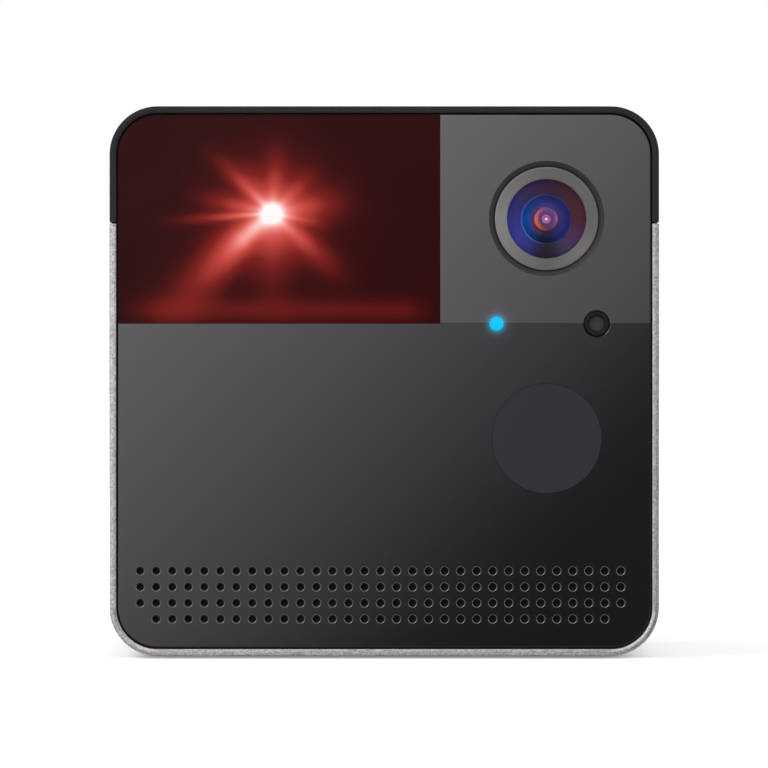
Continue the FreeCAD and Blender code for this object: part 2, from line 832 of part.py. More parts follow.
def filter_shutter():
    """Sliding frame with the day filter at one end and the night filter at the other."""
    plate = box(
        filter_start, filter_start + filter_length, filter_y, filter_y + filter_thickness,
        eye_z - filter_height / 2, eye_z + filter_height / 2,
    )
    half = filter_window / 2
    recesses = [
        box(x - half, x + half, filter_y - 1, filter_y + 0.3, eye_z - half, eye_z + half)
        for x in (eye_x, eye_x + filter_spacing)
    ]
    return plate.cut(recesses)


def camera_board():
    half = camera_board_size / 2
    plate = box(eye_x - half, eye_x + half, camera_board_front, camera_board_back, eye_z - half, eye_z + half)
    y0, y1 = camera_board_front - 1, camera_board_back + 1
    return plate.cut([rod_y(x, z, screw_radius + fit, y0, y1, screw_sides) for x, z in camera_posts])


def image_sensor():
    return box(
        eye_x - sensor_width / 2, eye_x + sensor_width / 2, camera_board_front - sensor_thickness,
        camera_board_front, eye_z - sensor_height / 2, eye_z + sensor_height / 2,
    )


# Lamp, microphone and night lamps
def lamp_light_pipe():
    pipe = rod_y(eye_x - port_spacing, seam_z, lamp_radius, panel_front, sensor_board_front - 0.8)
    x, y1 = eye_x - port_spacing, frame_back + 0.7
    collar = rod_y(x, seam_z, lamp_radius + 0.8, frame_back, y1, hidden_sides)
    return pipe.fuse(collar).removeSplitter()


def status_lamp():
    x = eye_x - port_spacing
    return box(x - 0.8, x + 0.8, sensor_board_front - 0.7, sensor_board_front, seam_z - 0.5, seam_z + 0.5)


def microphone_boot():
    """Rubber sleeve that leads sound to the microphone."""
    outer = microphone_radius - fit / 2
    profile = [
        (microphone_bore, panel_front + 0.1), (outer, panel_front + 0.1), (outer, frame_back),
        (outer + 1.0, frame_back), (outer + 1.0, frame_back + 0.7), (microphone_bore, frame_back + 0.7),
    ]
    return turned(profile, eye_x + port_spacing, 0, seam_z, "y")


def microphone_capsule():
    x = eye_x + port_spacing
    return rod_y(x, seam_z, microphone_radius, frame_back + 0.7, sensor_board_front, hidden_sides)


def microphone_mesh():
    x = eye_x + port_spacing
    y0 = panel_front + microphone_mesh_depth
    return rod_y(x, seam_z, microphone_bore - 0.03, y0, y0 + mesh_thickness)


def sensor_board():
    y1 = sensor_board_front + small_board_thickness
    left = eye_x - sensor_board_reach - sensor_board_margin
    right = eye_x + port_spacing + microphone_radius + sensor_board_margin
    half = sensor_board_height / 2
    plate = box(left, right, sensor_board_front, y1, seam_z - half, seam_z + half)
    y0 = sensor_board_front - 1
    return plate.cut([rod_y(x, z, screw_radius + fit, y0, y1 + 1, screw_sides) for x, z in sensor_screws])


def infrared_board():
    y1 = infrared_board_front + small_board_thickness
    disc = rod_y(eye_x, infrared_z, infrared_board_radius, infrared_board_front, y1, 2 * hidden_sides)
    y0 = infrared_board_front - 1
    return disc.cut([rod_y(x, z, screw_radius + fit, y0, y1 + 1, screw_sides) for x, z in infrared_screws])


def infrared_lamps():
    """Ring of square night lamps with clear tops."""
    lamps = []
    half = infrared_lamp_size / 2
    for k in range(infrared_lamp_count):
        angle = 2 * math.pi * k / infrared_lamp_count
        x = eye_x + infrared_lamp_circle * math.cos(angle)
        z = infrared_z + infrared_lamp_circle * math.sin(angle)
        y0 = infrared_board_front - infrared_lamp_height
        lamps.append(box(x - half, x + half, y0, infrared_board_front, z - half, z + half))
    return lamps


# Loudspeaker
def speaker_mesh():
    """Fine cloth behind the sound holes."""
    margin = mesh_margin - 2 * fit
    return block_about(
        grille_x, grille_z + grille_height / 2, grille_width + margin, grille_height + margin,
        mesh_corner - fit,
        panel_back, panel_back + mesh_thickness,
    )


def speaker_gasket():
    outer = block_about(
        speaker_x, speaker_z, speaker_width, speaker_height, speaker_corner, frame_back, speaker_face
    )
    inner = block_about(
        speaker_x, speaker_z, speaker_width - 2 * gasket_width, speaker_height - 2 * gasket_width,
        speaker_corner - gasket_width, frame_back - 1, speaker_face + 1,
    )
    return outer.cut(inner)


cone_width = speaker_width - 2 * basket_rim
cone_height = speaker_height - 2 * basket_rim
cone_corner = speaker_corner - basket_rim
basket_back = speaker_face + basket_depth
magnet_gap_radius = coil_radius + coil_wall + coil_gap
speaker_screw_seat = speaker_face + speaker_flange


def speaker_basket():
    """Steel basket: a flange with two ears and a tray behind it."""
    flange = block_about(
        speaker_x, speaker_z, speaker_width, speaker_height, speaker_corner, speaker_face, speaker_screw_seat
    )
    reach = speaker_width / 2 + speaker_ear
    half = speaker_ear_height / 2
    ears = box(
        speaker_x - reach, speaker_x + reach, speaker_face, speaker_screw_seat,
        speaker_ear_z - half, speaker_ear_z + half,
    )
    tray = block_about(
        speaker_x, speaker_z, cone_width + 2, cone_height + 2, cone_corner + 1, speaker_face, basket_back
    )
    basket = flange.fuse([ears, tray]).removeSplitter()
    cuts = [
        block_about(
            speaker_x, speaker_z, cone_width, cone_height, cone_corner, speaker_face - 1, basket_back - 1
        ),
        rod_y(speaker_x, speaker_z, magnet_gap_radius + 1, speaker_face, basket_back + 1, hidden_sides),
    ]
    for x, z in speaker_screws:
        cuts.append(rod_y(x, z, screw_radius + fit, speaker_face - 1, speaker_face + 3, screw_sides))
    return basket.cut(cuts)


def speaker_magnet():
    """Magnet and steel cup with the ring-shaped gap that the voice coil moves in."""
    y1 = basket_back + magnet_depth
    cup = rod_y(speaker_x, speaker_z, magnet_radius, basket_back, y1, 2 * hidden_sides)
    gap = rod_y(speaker_x, speaker_z, magnet_gap_radius, basket_back - 1, y1 - 1.2, hidden_sides)
    pole = rod_y(speaker_x, speaker_z, coil_radius - coil_gap, basket_back, y1 - 1.2, hidden_sides)
    return cup.cut(gap).fuse(pole).removeSplitter()


def speaker_cone():
    """Flat cone with the voice coil behind it."""
    y0 = speaker_face + 0.9
    plate = block_about(
        speaker_x, speaker_z, cone_width - 2 * cone_gap, cone_height - 2 * cone_gap, cone_corner - cone_gap,
        y0, y0 + 0.5,
    )
    coil_end = basket_back + magnet_depth / 2
    coil = rod_y(speaker_x, speaker_z, coil_radius + coil_wall, y0, coil_end, hidden_sides)
    coil = coil.cut(rod_y(speaker_x, speaker_z, coil_radius, y0 + 0.5, coil_end + 1, hidden_sides))
    return plate.fuse(coil).removeSplitter()


# Main board
def main_board():
    half = main_board_width / 2
    plate = box(-half, half, main_board_front, main_board_back, main_board_height, main_board_top)
    z0, z1 = main_board_height - 1, main_board_top + 1
    return plate.cut([rod_z(x, y, screw_radius + fit, z0, z1, screw_sides) for x, y in board_posts])


def processor():
    y = main_board_front + main_board_depth / 2
    half = processor_size / 2
    return box(-half, half, y - half, y + half, main_board_top, main_board_top + processor_height)


def heat_sink():
    """Finned aluminium block on the processor."""
    y0 = main_board_front + heat_sink_margin
    y1 = main_board_back - heat_sink_margin
    z = main_board_top + processor_height
    half = heat_sink_width / 2
    step = (heat_sink_width - fin_thickness) / (fin_count - 1)
    fins = [
        box(-half + step * k, -half + step * k + fin_thickness, y0, y1, z, z + heat_sink_height)
        for k in range(fin_count)
    ]
    return box(-half, half, y0, y1, z, z + 1.6).fuse(fins).removeSplitter()


def radio_module():
    y = main_board_front + main_board_depth / 2
    x = -main_board_width / 2 + radio_inset
    return box(
        x - radio_width / 2, x + radio_width / 2, y - radio_length / 2, y + radio_length / 2,
        main_board_top, main_board_top + radio_height,
    )


def board_connectors():
    """Flat cable sockets for the camera, the loudspeaker and the two motors."""
    x = main_board_width / 2 - radio_inset
    half = connector_length / 2
    z1 = main_board_top + connector_height
    sockets = []
    for k in range(connector_count):
        y = main_board_front + post_inset + 1.5 * connector_width * k
        sockets.append(box(x - half, x + half, y, y + connector_width, main_board_top, z1))
    return sockets


# Laser gimbal
gear_root_drop = gear_dedendum * gear_module
yoke_disc_radius = pan_gear_radius - gear_root_drop
arm_inner = arm_gap / 2
arm_outer = arm_inner + arm_thickness
arm_top = laser_z + 3.2
gear_top = gear_z + gear_face
base_screws = [(laser_x - base_reach + 2.5, laser_y + side * (base_half_depth - 3)) for side in (-1, 1)]
pan_motor_screws = [(pan_motor_x, laser_y + side * (pan_motor_radius + pan_motor_ear)) for side in (-1, 1)]


def tooth(teeth, addendum, centre_angle, tip_drop=0.0):
    """One involute tooth as an outline in the plane, pointing at centre_angle, in radians."""
    pitch = gear_module * teeth / 2
    base = pitch * math.cos(math.radians(pressure_angle))
    root = pitch - gear_root_drop
    tip = pitch + addendum * gear_module - tip_drop
    alpha = math.radians(pressure_angle)
    half_at_pitch = (math.pi * gear_module / 2 - gear_backlash / 2) / 2 / pitch
    involute_at_pitch = math.tan(alpha) - alpha

    def half_angle(radius):
        radius = max(radius, base)
        pressure = math.acos(base / radius)
        return half_at_pitch + involute_at_pitch - (math.tan(pressure) - pressure)

    def at(radius, side):
        angle = centre_angle + side * half_angle(radius)
        return V(radius * math.cos(angle), radius * math.sin(angle), 0)

    foot = root - 0.25
    flank = [at(foot, -1), at(pitch, -1), at(tip, -1), at(tip, 1), at(pitch, 1), at(foot, 1)]
    return Part.makePolygon(flank + flank[:1])


def toothed_disc(teeth, addendum, first, count, phase, hub_radius):
    """Flat gear about the z axis. count teeth start at index first; phase turns them all."""
    step = 2 * math.pi / teeth
    disc = Part.makeCylinder(hub_radius, gear_face)
    blanks = [
        Part.Face(tooth(teeth, addendum, phase + step * (first + k))).extrude(V(0, 0, gear_face))
        for k in range(count)
    ]
    return disc.fuse(blanks).removeSplitter()


def gimbal_base():
    """Plate on the shelf with the raised seat that the yoke turns on."""
    plate = box(
        laser_x - base_reach, pan_motor_x + pinion_radius,
        laser_y - base_half_depth, laser_y + base_half_depth, shelf_top, base_top,
    )
    z1 = gear_z - running_clearance
    seat = rod_z(laser_x, laser_y, 2.5 * pan_axle_radius, shelf_top, z1, 2 * hidden_sides)
    z0 = shelf_top - 1
    cuts = [rod_z(x, y, pilot_radius, z0, base_top - 0.4, screw_sides) for x, y in pan_motor_screws]
    cuts += [rod_z(x, y, screw_radius + fit, z0, base_top + 1, screw_sides) for x, y in base_screws]
    cuts += [
        rod_z(pan_motor_x, laser_y, shaft_hole_radius, shelf_top - 1, base_top + 1, hidden_sides),
        rod_z(laser_x, laser_y, pan_axle_radius + 0.02, shelf_top + 0.5, gear_z + 1),
    ]
    return plate.fuse(seat).removeSplitter().cut(cuts)


def pan_axle():
    """Steel pin with a head that holds the yoke down."""
    profile = [
        (0, shelf_top + 0.5), (pan_axle_radius, shelf_top + 0.5),
        (pan_axle_radius, gear_top + running_clearance),
        (3.0, gear_top + running_clearance), (3.0, gear_top + 0.8), (0, gear_top + 0.8),
    ]
    return turned(profile, laser_x, laser_y, 0, "z")


def side_plate(points, x0, x1):
    """Plate in the yz plane, between two values of x."""
    return prism([V(x0, y, z) for y, z in points], V(1, 0, 0), x1 - x0)


def pan_yoke():
    """Fork that carries the laser: a disc with a toothed sector, two arms and the tilt motor's seat."""
    sector = toothed_disc(pan_gear_teeth, gear_addendum, -6, 13, 0.0, yoke_disc_radius)
    yoke = sector.translated(V(laser_x, laser_y, gear_z))
    half = arm_width / 2
    solids = []
    for side in (-1, 1):
        x0, x1 = sorted((laser_x + side * arm_inner, laser_x + side * arm_outer))
        reach = tilt_motor_radius + 0.2 if side < 0 else motor_shaft_radius + 1.5
        solids.append(box(x0, x1, laser_y - half, laser_y + half, gear_top, laser_z))
        solids.append(rod_x(laser_y, laser_z, arm_eye_radius, x0, x1))
        solids.append(rod_x(tilt_motor_y, tilt_motor_z, reach, x0, x1))
        root_y = laser_y + half - 0.5
        points = [
            (root_y, gear_top + 1), (tilt_motor_y, tilt_motor_z - reach),
            (tilt_motor_y, tilt_motor_z + reach),
            (root_y, laser_z),
        ]
        solids.append(side_plate(points, x0, x1))
    yoke = yoke.fuse(solids).removeSplitter()
    x0, x1 = laser_x - arm_outer - 1, laser_x + arm_outer + 1
    cuts = [
        rod_z(laser_x, laser_y, pan_axle_radius + running_clearance, gear_z - 1, gear_top + 1),
        rod_x(laser_y, laser_z, axle_radius + running_clearance, x0, x1),
        rod_x(tilt_motor_y, tilt_motor_z, motor_shaft_radius + running_clearance, laser_x, x1),
    ]
    for y, z in tilt_motor_screw_places():
        cuts.append(rod_x(y, z, screw_radius + fit, x0, laser_x, screw_sides))
    return yoke.cut(cuts)


def tilt_motor_screw_places():
    reach = tilt_motor_radius - 1.5
    return [(tilt_motor_y - reach, tilt_motor_z), (tilt_motor_y + reach, tilt_motor_z)]


def tilt_motor():
    """Small stepper motor on the left arm of the yoke."""
    x0 = laser_x - arm_inner
    body = rod_x(tilt_motor_y, tilt_motor_z, tilt_motor_radius, x0, x0 + tilt_motor_length)
    bore_radius = motor_shaft_radius + running_clearance
    cuts = [rod_x(tilt_motor_y, tilt_motor_z, bore_radius, x0 + 1, x0 + tilt_motor_length + 1)]
    for y, z in tilt_motor_screw_places():
        cuts.append(rod_x(y, z, pilot_radius, x0 - 1, x0 + screw_length, screw_sides))
    return body.cut(cuts)


tilt_gear_x = laser_x + cradle_size / 2 + cradle_clearance


def tilt_pinion():
    """Pinion and shaft of the tilt motor. A gap between teeth faces the tilt axle."""
    gap_phase = math.pi / pinion_teeth
    wheel = toothed_disc(
        pinion_teeth, pinion_addendum, 0, pinion_teeth, gap_phase, pinion_radius - gear_root_drop
    )
    wheel.rotate(V(0, 0, 0), V(0, 0, 1), tilt_face_angle + 180)
    wheel = stood_on_x(wheel).translated(V(tilt_gear_x, tilt_motor_y, tilt_motor_z))
    x0 = laser_x - arm_inner + 1.2
    shaft = rod_x(tilt_motor_y, tilt_motor_z, motor_shaft_radius, x0, laser_x + arm_outer - 0.2)
    return wheel.fuse(shaft).removeSplitter()


tilt_face_angle = -tilt_motor_angle


def stood_on_x(flat):
    """Turns a flat gear about z into one about x. Its x becomes y, and its y becomes z."""
    turn = FreeCAD.Rotation(V(0, 1, 0), V(0, 0, 1), V(1, 0, 0), "ZXY")
    shape = flat.copy()
    shape.Placement = FreeCAD.Placement(V(0, 0, 0), turn).multiply(flat.Placement)
    return shape


def tilt_gear():
    """Toothed sector on the side of the laser's cradle, with a hub on the axle."""
    step = 360.0 / tilt_gear_teeth
    sector = toothed_disc(tilt_gear_teeth, gear_addendum, -6, 10, 0.0, tilt_gear_radius - gear_root_drop)
    wedge = Part.makeCylinder(tilt_gear_radius * 1.5, gear_face, V(0, 0, 0), V(0, 0, 1), step * 10)
    wedge.rotate(V(0, 0, 0), V(0, 0, 1), -6.5 * step)
    sector = sector.common(wedge).fuse(Part.makeCylinder(3.0, gear_face)).removeSplitter()
    sector.rotate(V(0, 0, 0), V(0, 0, 1), tilt_face_angle)
    sector = stood_on_x(sector).translated(V(tilt_gear_x, laser_y, laser_z))
    hub = rod_x(laser_y, laser_z, 2.4, laser_x + cradle_size / 2, tilt_gear_x + 0.5)
    bore = rod_x(laser_y, laser_z, axle_radius + 0.02, laser_x, tilt_gear_x + 5)
    return sector.fuse(hub).removeSplitter().cut(bore)


def laser_cradle():
    """Block that clamps the laser barrel and turns on two pins."""
    half = cradle_size / 2
    block = block_about(
        laser_x, laser_z, cradle_size, cradle_size, 1.5,
        laser_y - cradle_length / 2, laser_y + cradle_length / 2,
    )
    sides = 2 * hidden_sides
    bore = rod_y(laser_x, laser_z, barrel_radius + 0.02, laser_y - 10, laser_y + 10, sides)
    pins = [
        rod_x(laser_y, laser_z, axle_radius + 0.02, laser_x - half - 1, laser_x - barrel_radius - 0.4),
        rod_x(laser_y, laser_z, axle_radius + 0.02, laser_x + barrel_radius + 0.4, laser_x + half + 1),
    ]
    return block.cut([bore] + pins)


def tilt_pins():
    """The two steel pins that the cradle turns on."""
    inner = barrel_radius + 0.45
    return [
        rod_x(laser_y, laser_z, axle_radius, laser_x - arm_outer + 0.1, laser_x - inner),
        rod_x(laser_y, laser_z, axle_radius, laser_x + inner, laser_x + arm_outer - 0.1),
    ]


def laser_barrel():
    """Brass barrel of the laser, open at the front for its lens and at the back for its board."""
    y0, y1 = laser_y - barrel_front, laser_y + barrel_back
    sides = 2 * hidden_sides
    barrel = rod_y(laser_x, laser_z, barrel_radius, y0, y1, sides)
    return barrel.cut([
        rod_y(laser_x, laser_z, laser_lens_radius, y0 - 1, y0 + 1.4, sides),
        rod_y(laser_x, laser_z, beam_bore_radius, y0 - 1, y1 + 1, hidden_sides),
        rod_y(laser_x, laser_z, barrel_socket_radius + fit, y1 - 2, y1 + 1, sides),
    ])


def laser_lens():
    y0 = laser_y - barrel_front + 0.3
    edge = laser_lens_radius - 0.02
    profile = [(0, y0), (edge, y0 + 0.5), (edge, y0 + 1.1), (0, y0 + 1.1)]
    return turned(profile, laser_x, 0, laser_z, "y")


def laser_driver_board():
    y1 = laser_y + barrel_back
    return rod_y(laser_x, laser_z, barrel_socket_radius - fit / 3, y1 - 1.2, y1 - 0.2, 2 * hidden_sides)


def pan_motor():
    """Stepper motor hung under the shelf, with two ears."""
    z1 = shelf_under
    can = rod_z(pan_motor_x, laser_y, pan_motor_radius, z1 - pan_motor_length, z1, 2 * hidden_sides)
    reach = pan_motor_radius + 2 * pan_motor_ear
    ears = box(pan_motor_x - 2, pan_motor_x + 2, laser_y - reach, laser_y + reach, z1 - pan_ear_thickness, z1)
    motor = can.fuse(ears).removeSplitter()
    cuts = [rod_z(pan_motor_x, laser_y, motor_shaft_radius + running_clearance, z1 - 4, z1 + 1)]
    z0 = z1 - pan_motor_length - 1
    cuts += [rod_z(x, y, screw_radius + fit, z0, z1 + 1, screw_sides) for x, y in pan_motor_screws]
    return motor.cut(cuts)


def pan_pinion():
    """Pinion and shaft of the pan motor. A gap between teeth faces the yoke."""
    gap_phase = math.pi / pinion_teeth
    wheel = toothed_disc(
        pinion_teeth, pinion_addendum, 0, pinion_teeth, gap_phase, pinion_radius - gear_root_drop
    )
    wheel = wheel.translated(V(pan_motor_x, laser_y, gear_z))
    z0 = shelf_under - 3.5
    return wheel.fuse(rod_z(pan_motor_x, laser_y, motor_shaft_radius, z0, gear_z)).removeSplitter()


def save_screws():
    save("front_frame_screws", *[screw(x, frame_screw_seat, z, V(0, 1, 0)) for x, z in frame_screws])
    save("rear_cover_screws", *[screw(x, cover_screw_seat, z, V(0, -1, 0)) for x, z in cover_screws])
    boards = [screw(x, sensor_board_front + small_board_thickness, z, V(0, -1, 0)) for x, z in sensor_screws]
    y = infrared_board_front + small_board_thickness
    boards += [screw(x, y, z, V(0, -1, 0)) for x, z in infrared_screws]
    boards += [screw(x, camera_board_front, z, V(0, 1, 0)) for x, z in camera_posts]
    boards += [screw(x, y, main_board_top, V(0, 0, -1)) for x, y in board_posts]
    save("board_screws", *boards)
    short = short_screw_length
    save("speaker_screws", *[screw(x, speaker_screw_seat, z, V(0, -1, 0), short) for x, z in speaker_screws])
    gimbal = [screw(x, y, base_top, V(0, 0, -1), short) for x, y in base_screws]
    gimbal += [screw(x, y, shelf_under - pan_ear_thickness, V(0, 0, 1), short) for x, y in pan_motor_screws]
    save("gimbal_screws", *gimbal)
    x = laser_x - arm_outer
    save("tilt_motor_screws", *[screw(x, y, z, V(1, 0, 0)) for y, z in tilt_motor_screw_places()])


def main():
    os.makedirs("parts", exist_ok=True)
    tube = skin_tube()
    save("body_shell", body_shell(tube))
    save("top_cap", top_cap(tube))
    plate = front_outline()
    save("laser_window", laser_window(plate))
    save("camera_panel", camera_panel(plate))
    save("grille_panel", grille_panel(plate))
    save("infrared_window", infrared_window())
    save("front_frame", front_frame())
    save("inner_chassis", inner_chassis())
    save("rear_cover", rear_cover())
    save("reset_button", reset_button())
    save("reset_switch", reset_switch())
    save("switch_plunger", switch_plunger())
    save("power_socket", power_socket())
    save("foot_pad", foot_pad())
    save("tripod_insert", tripod_insert())
    save("lens_bezel", lens_bezel())
    save("lens_glass", lens_glass())
    save("lens_barrel", lens_barrel())
    save("lens_inner_element", lens_inner_element())
    save("lens_holder", lens_holder())
    save("filter_shutter", filter_shutter())
    save("camera_board", camera_board())
    save("image_sensor", image_sensor())
    save("lamp_light_pipe", lamp_light_pipe())
    save("status_lamp", status_lamp())
    save("microphone_boot", microphone_boot())
    save("microphone_capsule", microphone_capsule())
    save("microphone_mesh", microphone_mesh())
    save("sensor_board", sensor_board())
    save("infrared_board", infrared_board())
    save("infrared_lamps", *infrared_lamps())
    save("speaker_mesh", speaker_mesh())
    save("speaker_gasket", speaker_gasket())
    save("speaker_basket", speaker_basket())
    save("speaker_magnet", speaker_magnet())
    save("speaker_cone", speaker_cone())
    save("main_board", main_board())
    save("processor", processor())
    save("heat_sink", heat_sink())
    save("radio_module", radio_module())
    save("board_connectors", *board_connectors())
    save("gimbal_base", gimbal_base())
    save("pan_axle", pan_axle())
    save("pan_motor", pan_motor())
    save("pan_pinion", pan_pinion())
    save("pan_yoke", pan_yoke())
    save("tilt_motor", tilt_motor())
    save("tilt_pinion", tilt_pinion())
    save("tilt_gear", tilt_gear())
    save("tilt_pins", *tilt_pins())
    save("laser_cradle", laser_cradle())
    save("laser_barrel", laser_barrel())
    save("laser_lens", laser_lens())
    save("laser_driver_board", laser_driver_board())
    save_screws()


main()
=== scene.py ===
# %% [markdown]
# # A cube-shaped laser pet camera
# The real object is an aluminium wrap with a black plastic roof and a glossy front in three panels.
# The measured model gives every piece its size and place, so it is loaded first and never moved.
# Around it this lesson makes the pieces that the eye notices, each with rounded edges and a real
# finish, and then the light, the floor and the camera.

# %% Load the measured model
import math

import bpy
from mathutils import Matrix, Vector


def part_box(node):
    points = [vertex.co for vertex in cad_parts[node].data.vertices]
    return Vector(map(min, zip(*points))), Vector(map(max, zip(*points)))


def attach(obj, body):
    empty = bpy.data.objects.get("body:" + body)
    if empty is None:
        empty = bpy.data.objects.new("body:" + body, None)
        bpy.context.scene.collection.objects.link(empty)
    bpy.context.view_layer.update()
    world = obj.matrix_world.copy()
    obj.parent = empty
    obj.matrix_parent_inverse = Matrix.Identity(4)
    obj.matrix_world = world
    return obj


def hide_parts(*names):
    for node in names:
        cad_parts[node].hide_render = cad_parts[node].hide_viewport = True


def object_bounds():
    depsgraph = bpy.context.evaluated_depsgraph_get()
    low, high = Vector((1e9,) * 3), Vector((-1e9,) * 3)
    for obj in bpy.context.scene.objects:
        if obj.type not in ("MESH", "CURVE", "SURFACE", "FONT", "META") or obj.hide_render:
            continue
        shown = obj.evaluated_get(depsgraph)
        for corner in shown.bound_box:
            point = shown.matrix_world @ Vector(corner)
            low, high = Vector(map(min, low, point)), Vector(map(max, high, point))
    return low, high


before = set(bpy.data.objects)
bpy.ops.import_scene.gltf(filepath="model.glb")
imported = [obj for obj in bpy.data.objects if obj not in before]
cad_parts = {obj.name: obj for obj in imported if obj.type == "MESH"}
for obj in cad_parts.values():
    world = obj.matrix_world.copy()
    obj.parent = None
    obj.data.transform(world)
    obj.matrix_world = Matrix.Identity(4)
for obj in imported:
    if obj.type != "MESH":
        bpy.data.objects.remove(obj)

cad_low, cad_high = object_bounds()
print("Measured size in mm:", [round(1000 * side, 2) for side in cad_high - cad_low])

# %% [markdown]
# Blender works in metres, and this object has details of a tenth of a millimetre. A short name for
# one millimetre keeps every size readable. The places of the eye, the lamp, the microphone, the
# night window and the laser all come from the measured pieces.

# %% Units and places
MM = 0.001


def in_mm(values):
    return [round(value / MM, 2) for value in values]


def middle_of(node):
    low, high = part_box(node)
    return (low + high) / 2


eye = middle_of("lens_glass")
lamp = middle_of("lamp_light_pipe")
microphone = middle_of("microphone_mesh")
night_window = middle_of("infrared_window")
laser = middle_of("laser_lens")
front_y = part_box("camera_panel")[0].y
panel_back_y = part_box("camera_panel")[1].y
print("Eye at", in_mm(eye))

# %% [markdown]
# ## Hands on the mesh
# An operator acts on everything that is selected, and the measured pieces come in selected. So each
# step begins with nothing selected and takes up one piece. A new piece is named at once, because it
# is the active one only until the next is made.

# %% Start clean
def start_fresh():
    if bpy.context.object and bpy.context.object.mode != "OBJECT":
        bpy.ops.object.mode_set(mode="OBJECT")
    bpy.ops.object.select_all(action="DESELECT")


def take_up(piece):
    start_fresh()
    piece.select_set(True)
    bpy.context.view_layer.objects.active = piece


def call_it(name):
    piece = bpy.context.object
    piece.name = name
    piece.data.name = name
    return piece


start_fresh()
print("Selected after a fresh start:", len(bpy.context.selected_objects))

# %% [markdown]
# Faces and edges are picked by where they lie or which way they point, never by number, so a pick
# still holds when a size changes. It is written on the mesh first, and edit mode then opens on it.

# %% Pick by place
CLOSE = 1e-6
FACING = 0.9


def open_mesh(kind):
    picks = tuple(kind == each for each in ("VERT", "EDGE", "FACE"))
    bpy.context.tool_settings.mesh_select_mode = picks
    bpy.ops.object.mode_set(mode="EDIT")


def open_all():
    open_mesh("VERT")
    bpy.ops.mesh.select_all(action="SELECT")


def clear_picks(piece):
    take_up(piece)
    for part in (piece.data.vertices, piece.data.edges, piece.data.polygons):
        part.foreach_set("select", [False] * len(part))


def pick_faces(piece, wanted):
    clear_picks(piece)
    for face in piece.data.polygons:
        face.select = wanted(face.center, face.normal)
    open_mesh("FACE")


def pick_edges(piece, wanted):
    clear_picks(piece)
    points = piece.data.vertices
    for edge in piece.data.edges:
        edge.select = wanted(points[edge.vertices[0]].co, points[edge.vertices[1]].co)
    open_mesh("EDGE")


def put_down():
    bpy.ops.object.mode_set(mode="OBJECT")


print("Two places count as one within", CLOSE / MM, "mm")

# %% [markdown]
# A block is a cube stretched between two corners. Its size and place go into its mesh, so that each
# piece sits at the origin, unturned and unscaled, as the measured pieces do. The edges along one of
# its axes can then be rounded with a bevel.

# %% Blocks with rounded corners
def settle(name):
    """Names the new primitive, and puts its size and place into its mesh."""
    piece = call_it(name)
    bpy.ops.object.transform_apply(location=True, rotation=True, scale=True)
    return piece


def block(name, low, high):
    start_fresh()
    low, high = Vector(low), Vector(high)
    bpy.ops.mesh.primitive_cube_add(size=1, location=(low + high) / 2)
    bpy.context.object.scale = high - low
    return settle(name)


def round_corners(piece, radius, axis=1, wanted=lambda point: True, segments=14):
    """Rounds the edges that run along one axis, where wanted says so."""
    def runs_along(a, b):
        apart = [abs(a[k] - b[k]) for k in range(3)]
        longest = apart[axis] > CLOSE and sum(apart) - apart[axis] < CLOSE
        return longest and wanted((a + b) / 2)

    pick_edges(piece, runs_along)
    bpy.ops.mesh.bevel(offset=radius, segments=segments, affect="EDGES")
    put_down()


print("Blocks will fill a box of", in_mm(cad_high - cad_low), "mm")

# %% [markdown]
# The rest is done with modifiers, each applied at once: a bevel that breaks the sharp edges, and a
# boolean that carves one piece with another. Smooth shading comes last. Its normals follow the
# largest faces, so that flats stay flat like a mirror between their rounded edges.

# %% Modifiers
def apply_modifier(piece, kind, **settings):
    take_up(piece)
    modifier = piece.modifiers.new(kind.title(), kind)
    for key, value in settings.items():
        setattr(modifier, key, value)
    bpy.ops.object.modifier_apply(modifier=modifier.name)


def break_edges(piece, width, segments=2, angle=35):
    apply_modifier(
        piece, "BEVEL", width=width, segments=segments, limit_method="ANGLE",
        angle_limit=math.radians(angle), harden_normals=False,
    )


def combine(piece, others, operation):
    for other in others:
        apply_modifier(piece, "BOOLEAN", operation=operation, object=other, solver="EXACT")
        bpy.data.objects.remove(other)


def carve(piece, *cutters):
    combine(piece, cutters, "DIFFERENCE")


def smooth(piece, angle=32):
    take_up(piece)
    bpy.ops.object.shade_smooth_by_angle(angle=math.radians(angle))
    apply_modifier(piece, "WEIGHTED_NORMAL", mode="FACE_AREA", weight=100, keep_sharp=True)
    return piece


def summary(*pieces):
    """The faces and the size in millimetres of finished pieces."""
    lines = []
    for piece in pieces:
        points = [vertex.co for vertex in piece.data.vertices]
        size = [max(p[k] for p in points) - min(p[k] for p in points) for k in range(3)]
        lines.append(f"{piece.name}: {len(piece.data.polygons)} faces, {in_mm(size)}")
    return "; ".join(lines)


print("Measured pieces to dress:", len(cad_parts))

# %% [markdown]
# ## The aluminium wrap and the plastic roof
# Both are the same thin tube, cut apart at a seam a fifth of the way down. The tube starts as a cube:
# its four long edges are rounded, its front and back are deleted, and bisect keeps one side of the
# seam. Solidify then gives the wall.

# %% The tube of the wrap
wall = 1.0 * MM
wrap_corner = 7.0 * MM
wrap_low, wrap_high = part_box("body_shell")
roof_low, roof_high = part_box("top_cap")


def half_tube(name, seam, keep_below):
    tube = block(name, wrap_low, roof_high)
    round_corners(tube, wrap_corner, segments=20)
    pick_faces(tube, lambda centre, normal: abs(normal.y) > FACING)
    bpy.ops.mesh.delete(type="FACE")
    bpy.ops.mesh.select_all(action="SELECT")
    bpy.ops.mesh.bisect(
        plane_co=(0, 0, seam), plane_no=(0, 0, 1), clear_outer=keep_below, clear_inner=not keep_below
    )
    put_down()
    apply_modifier(tube, "SOLIDIFY", thickness=wall, offset=-1)
    return tube


aluminium_wrap = half_tube("aluminium_wrap", wrap_high.z, True)
print(summary(aluminium_wrap))

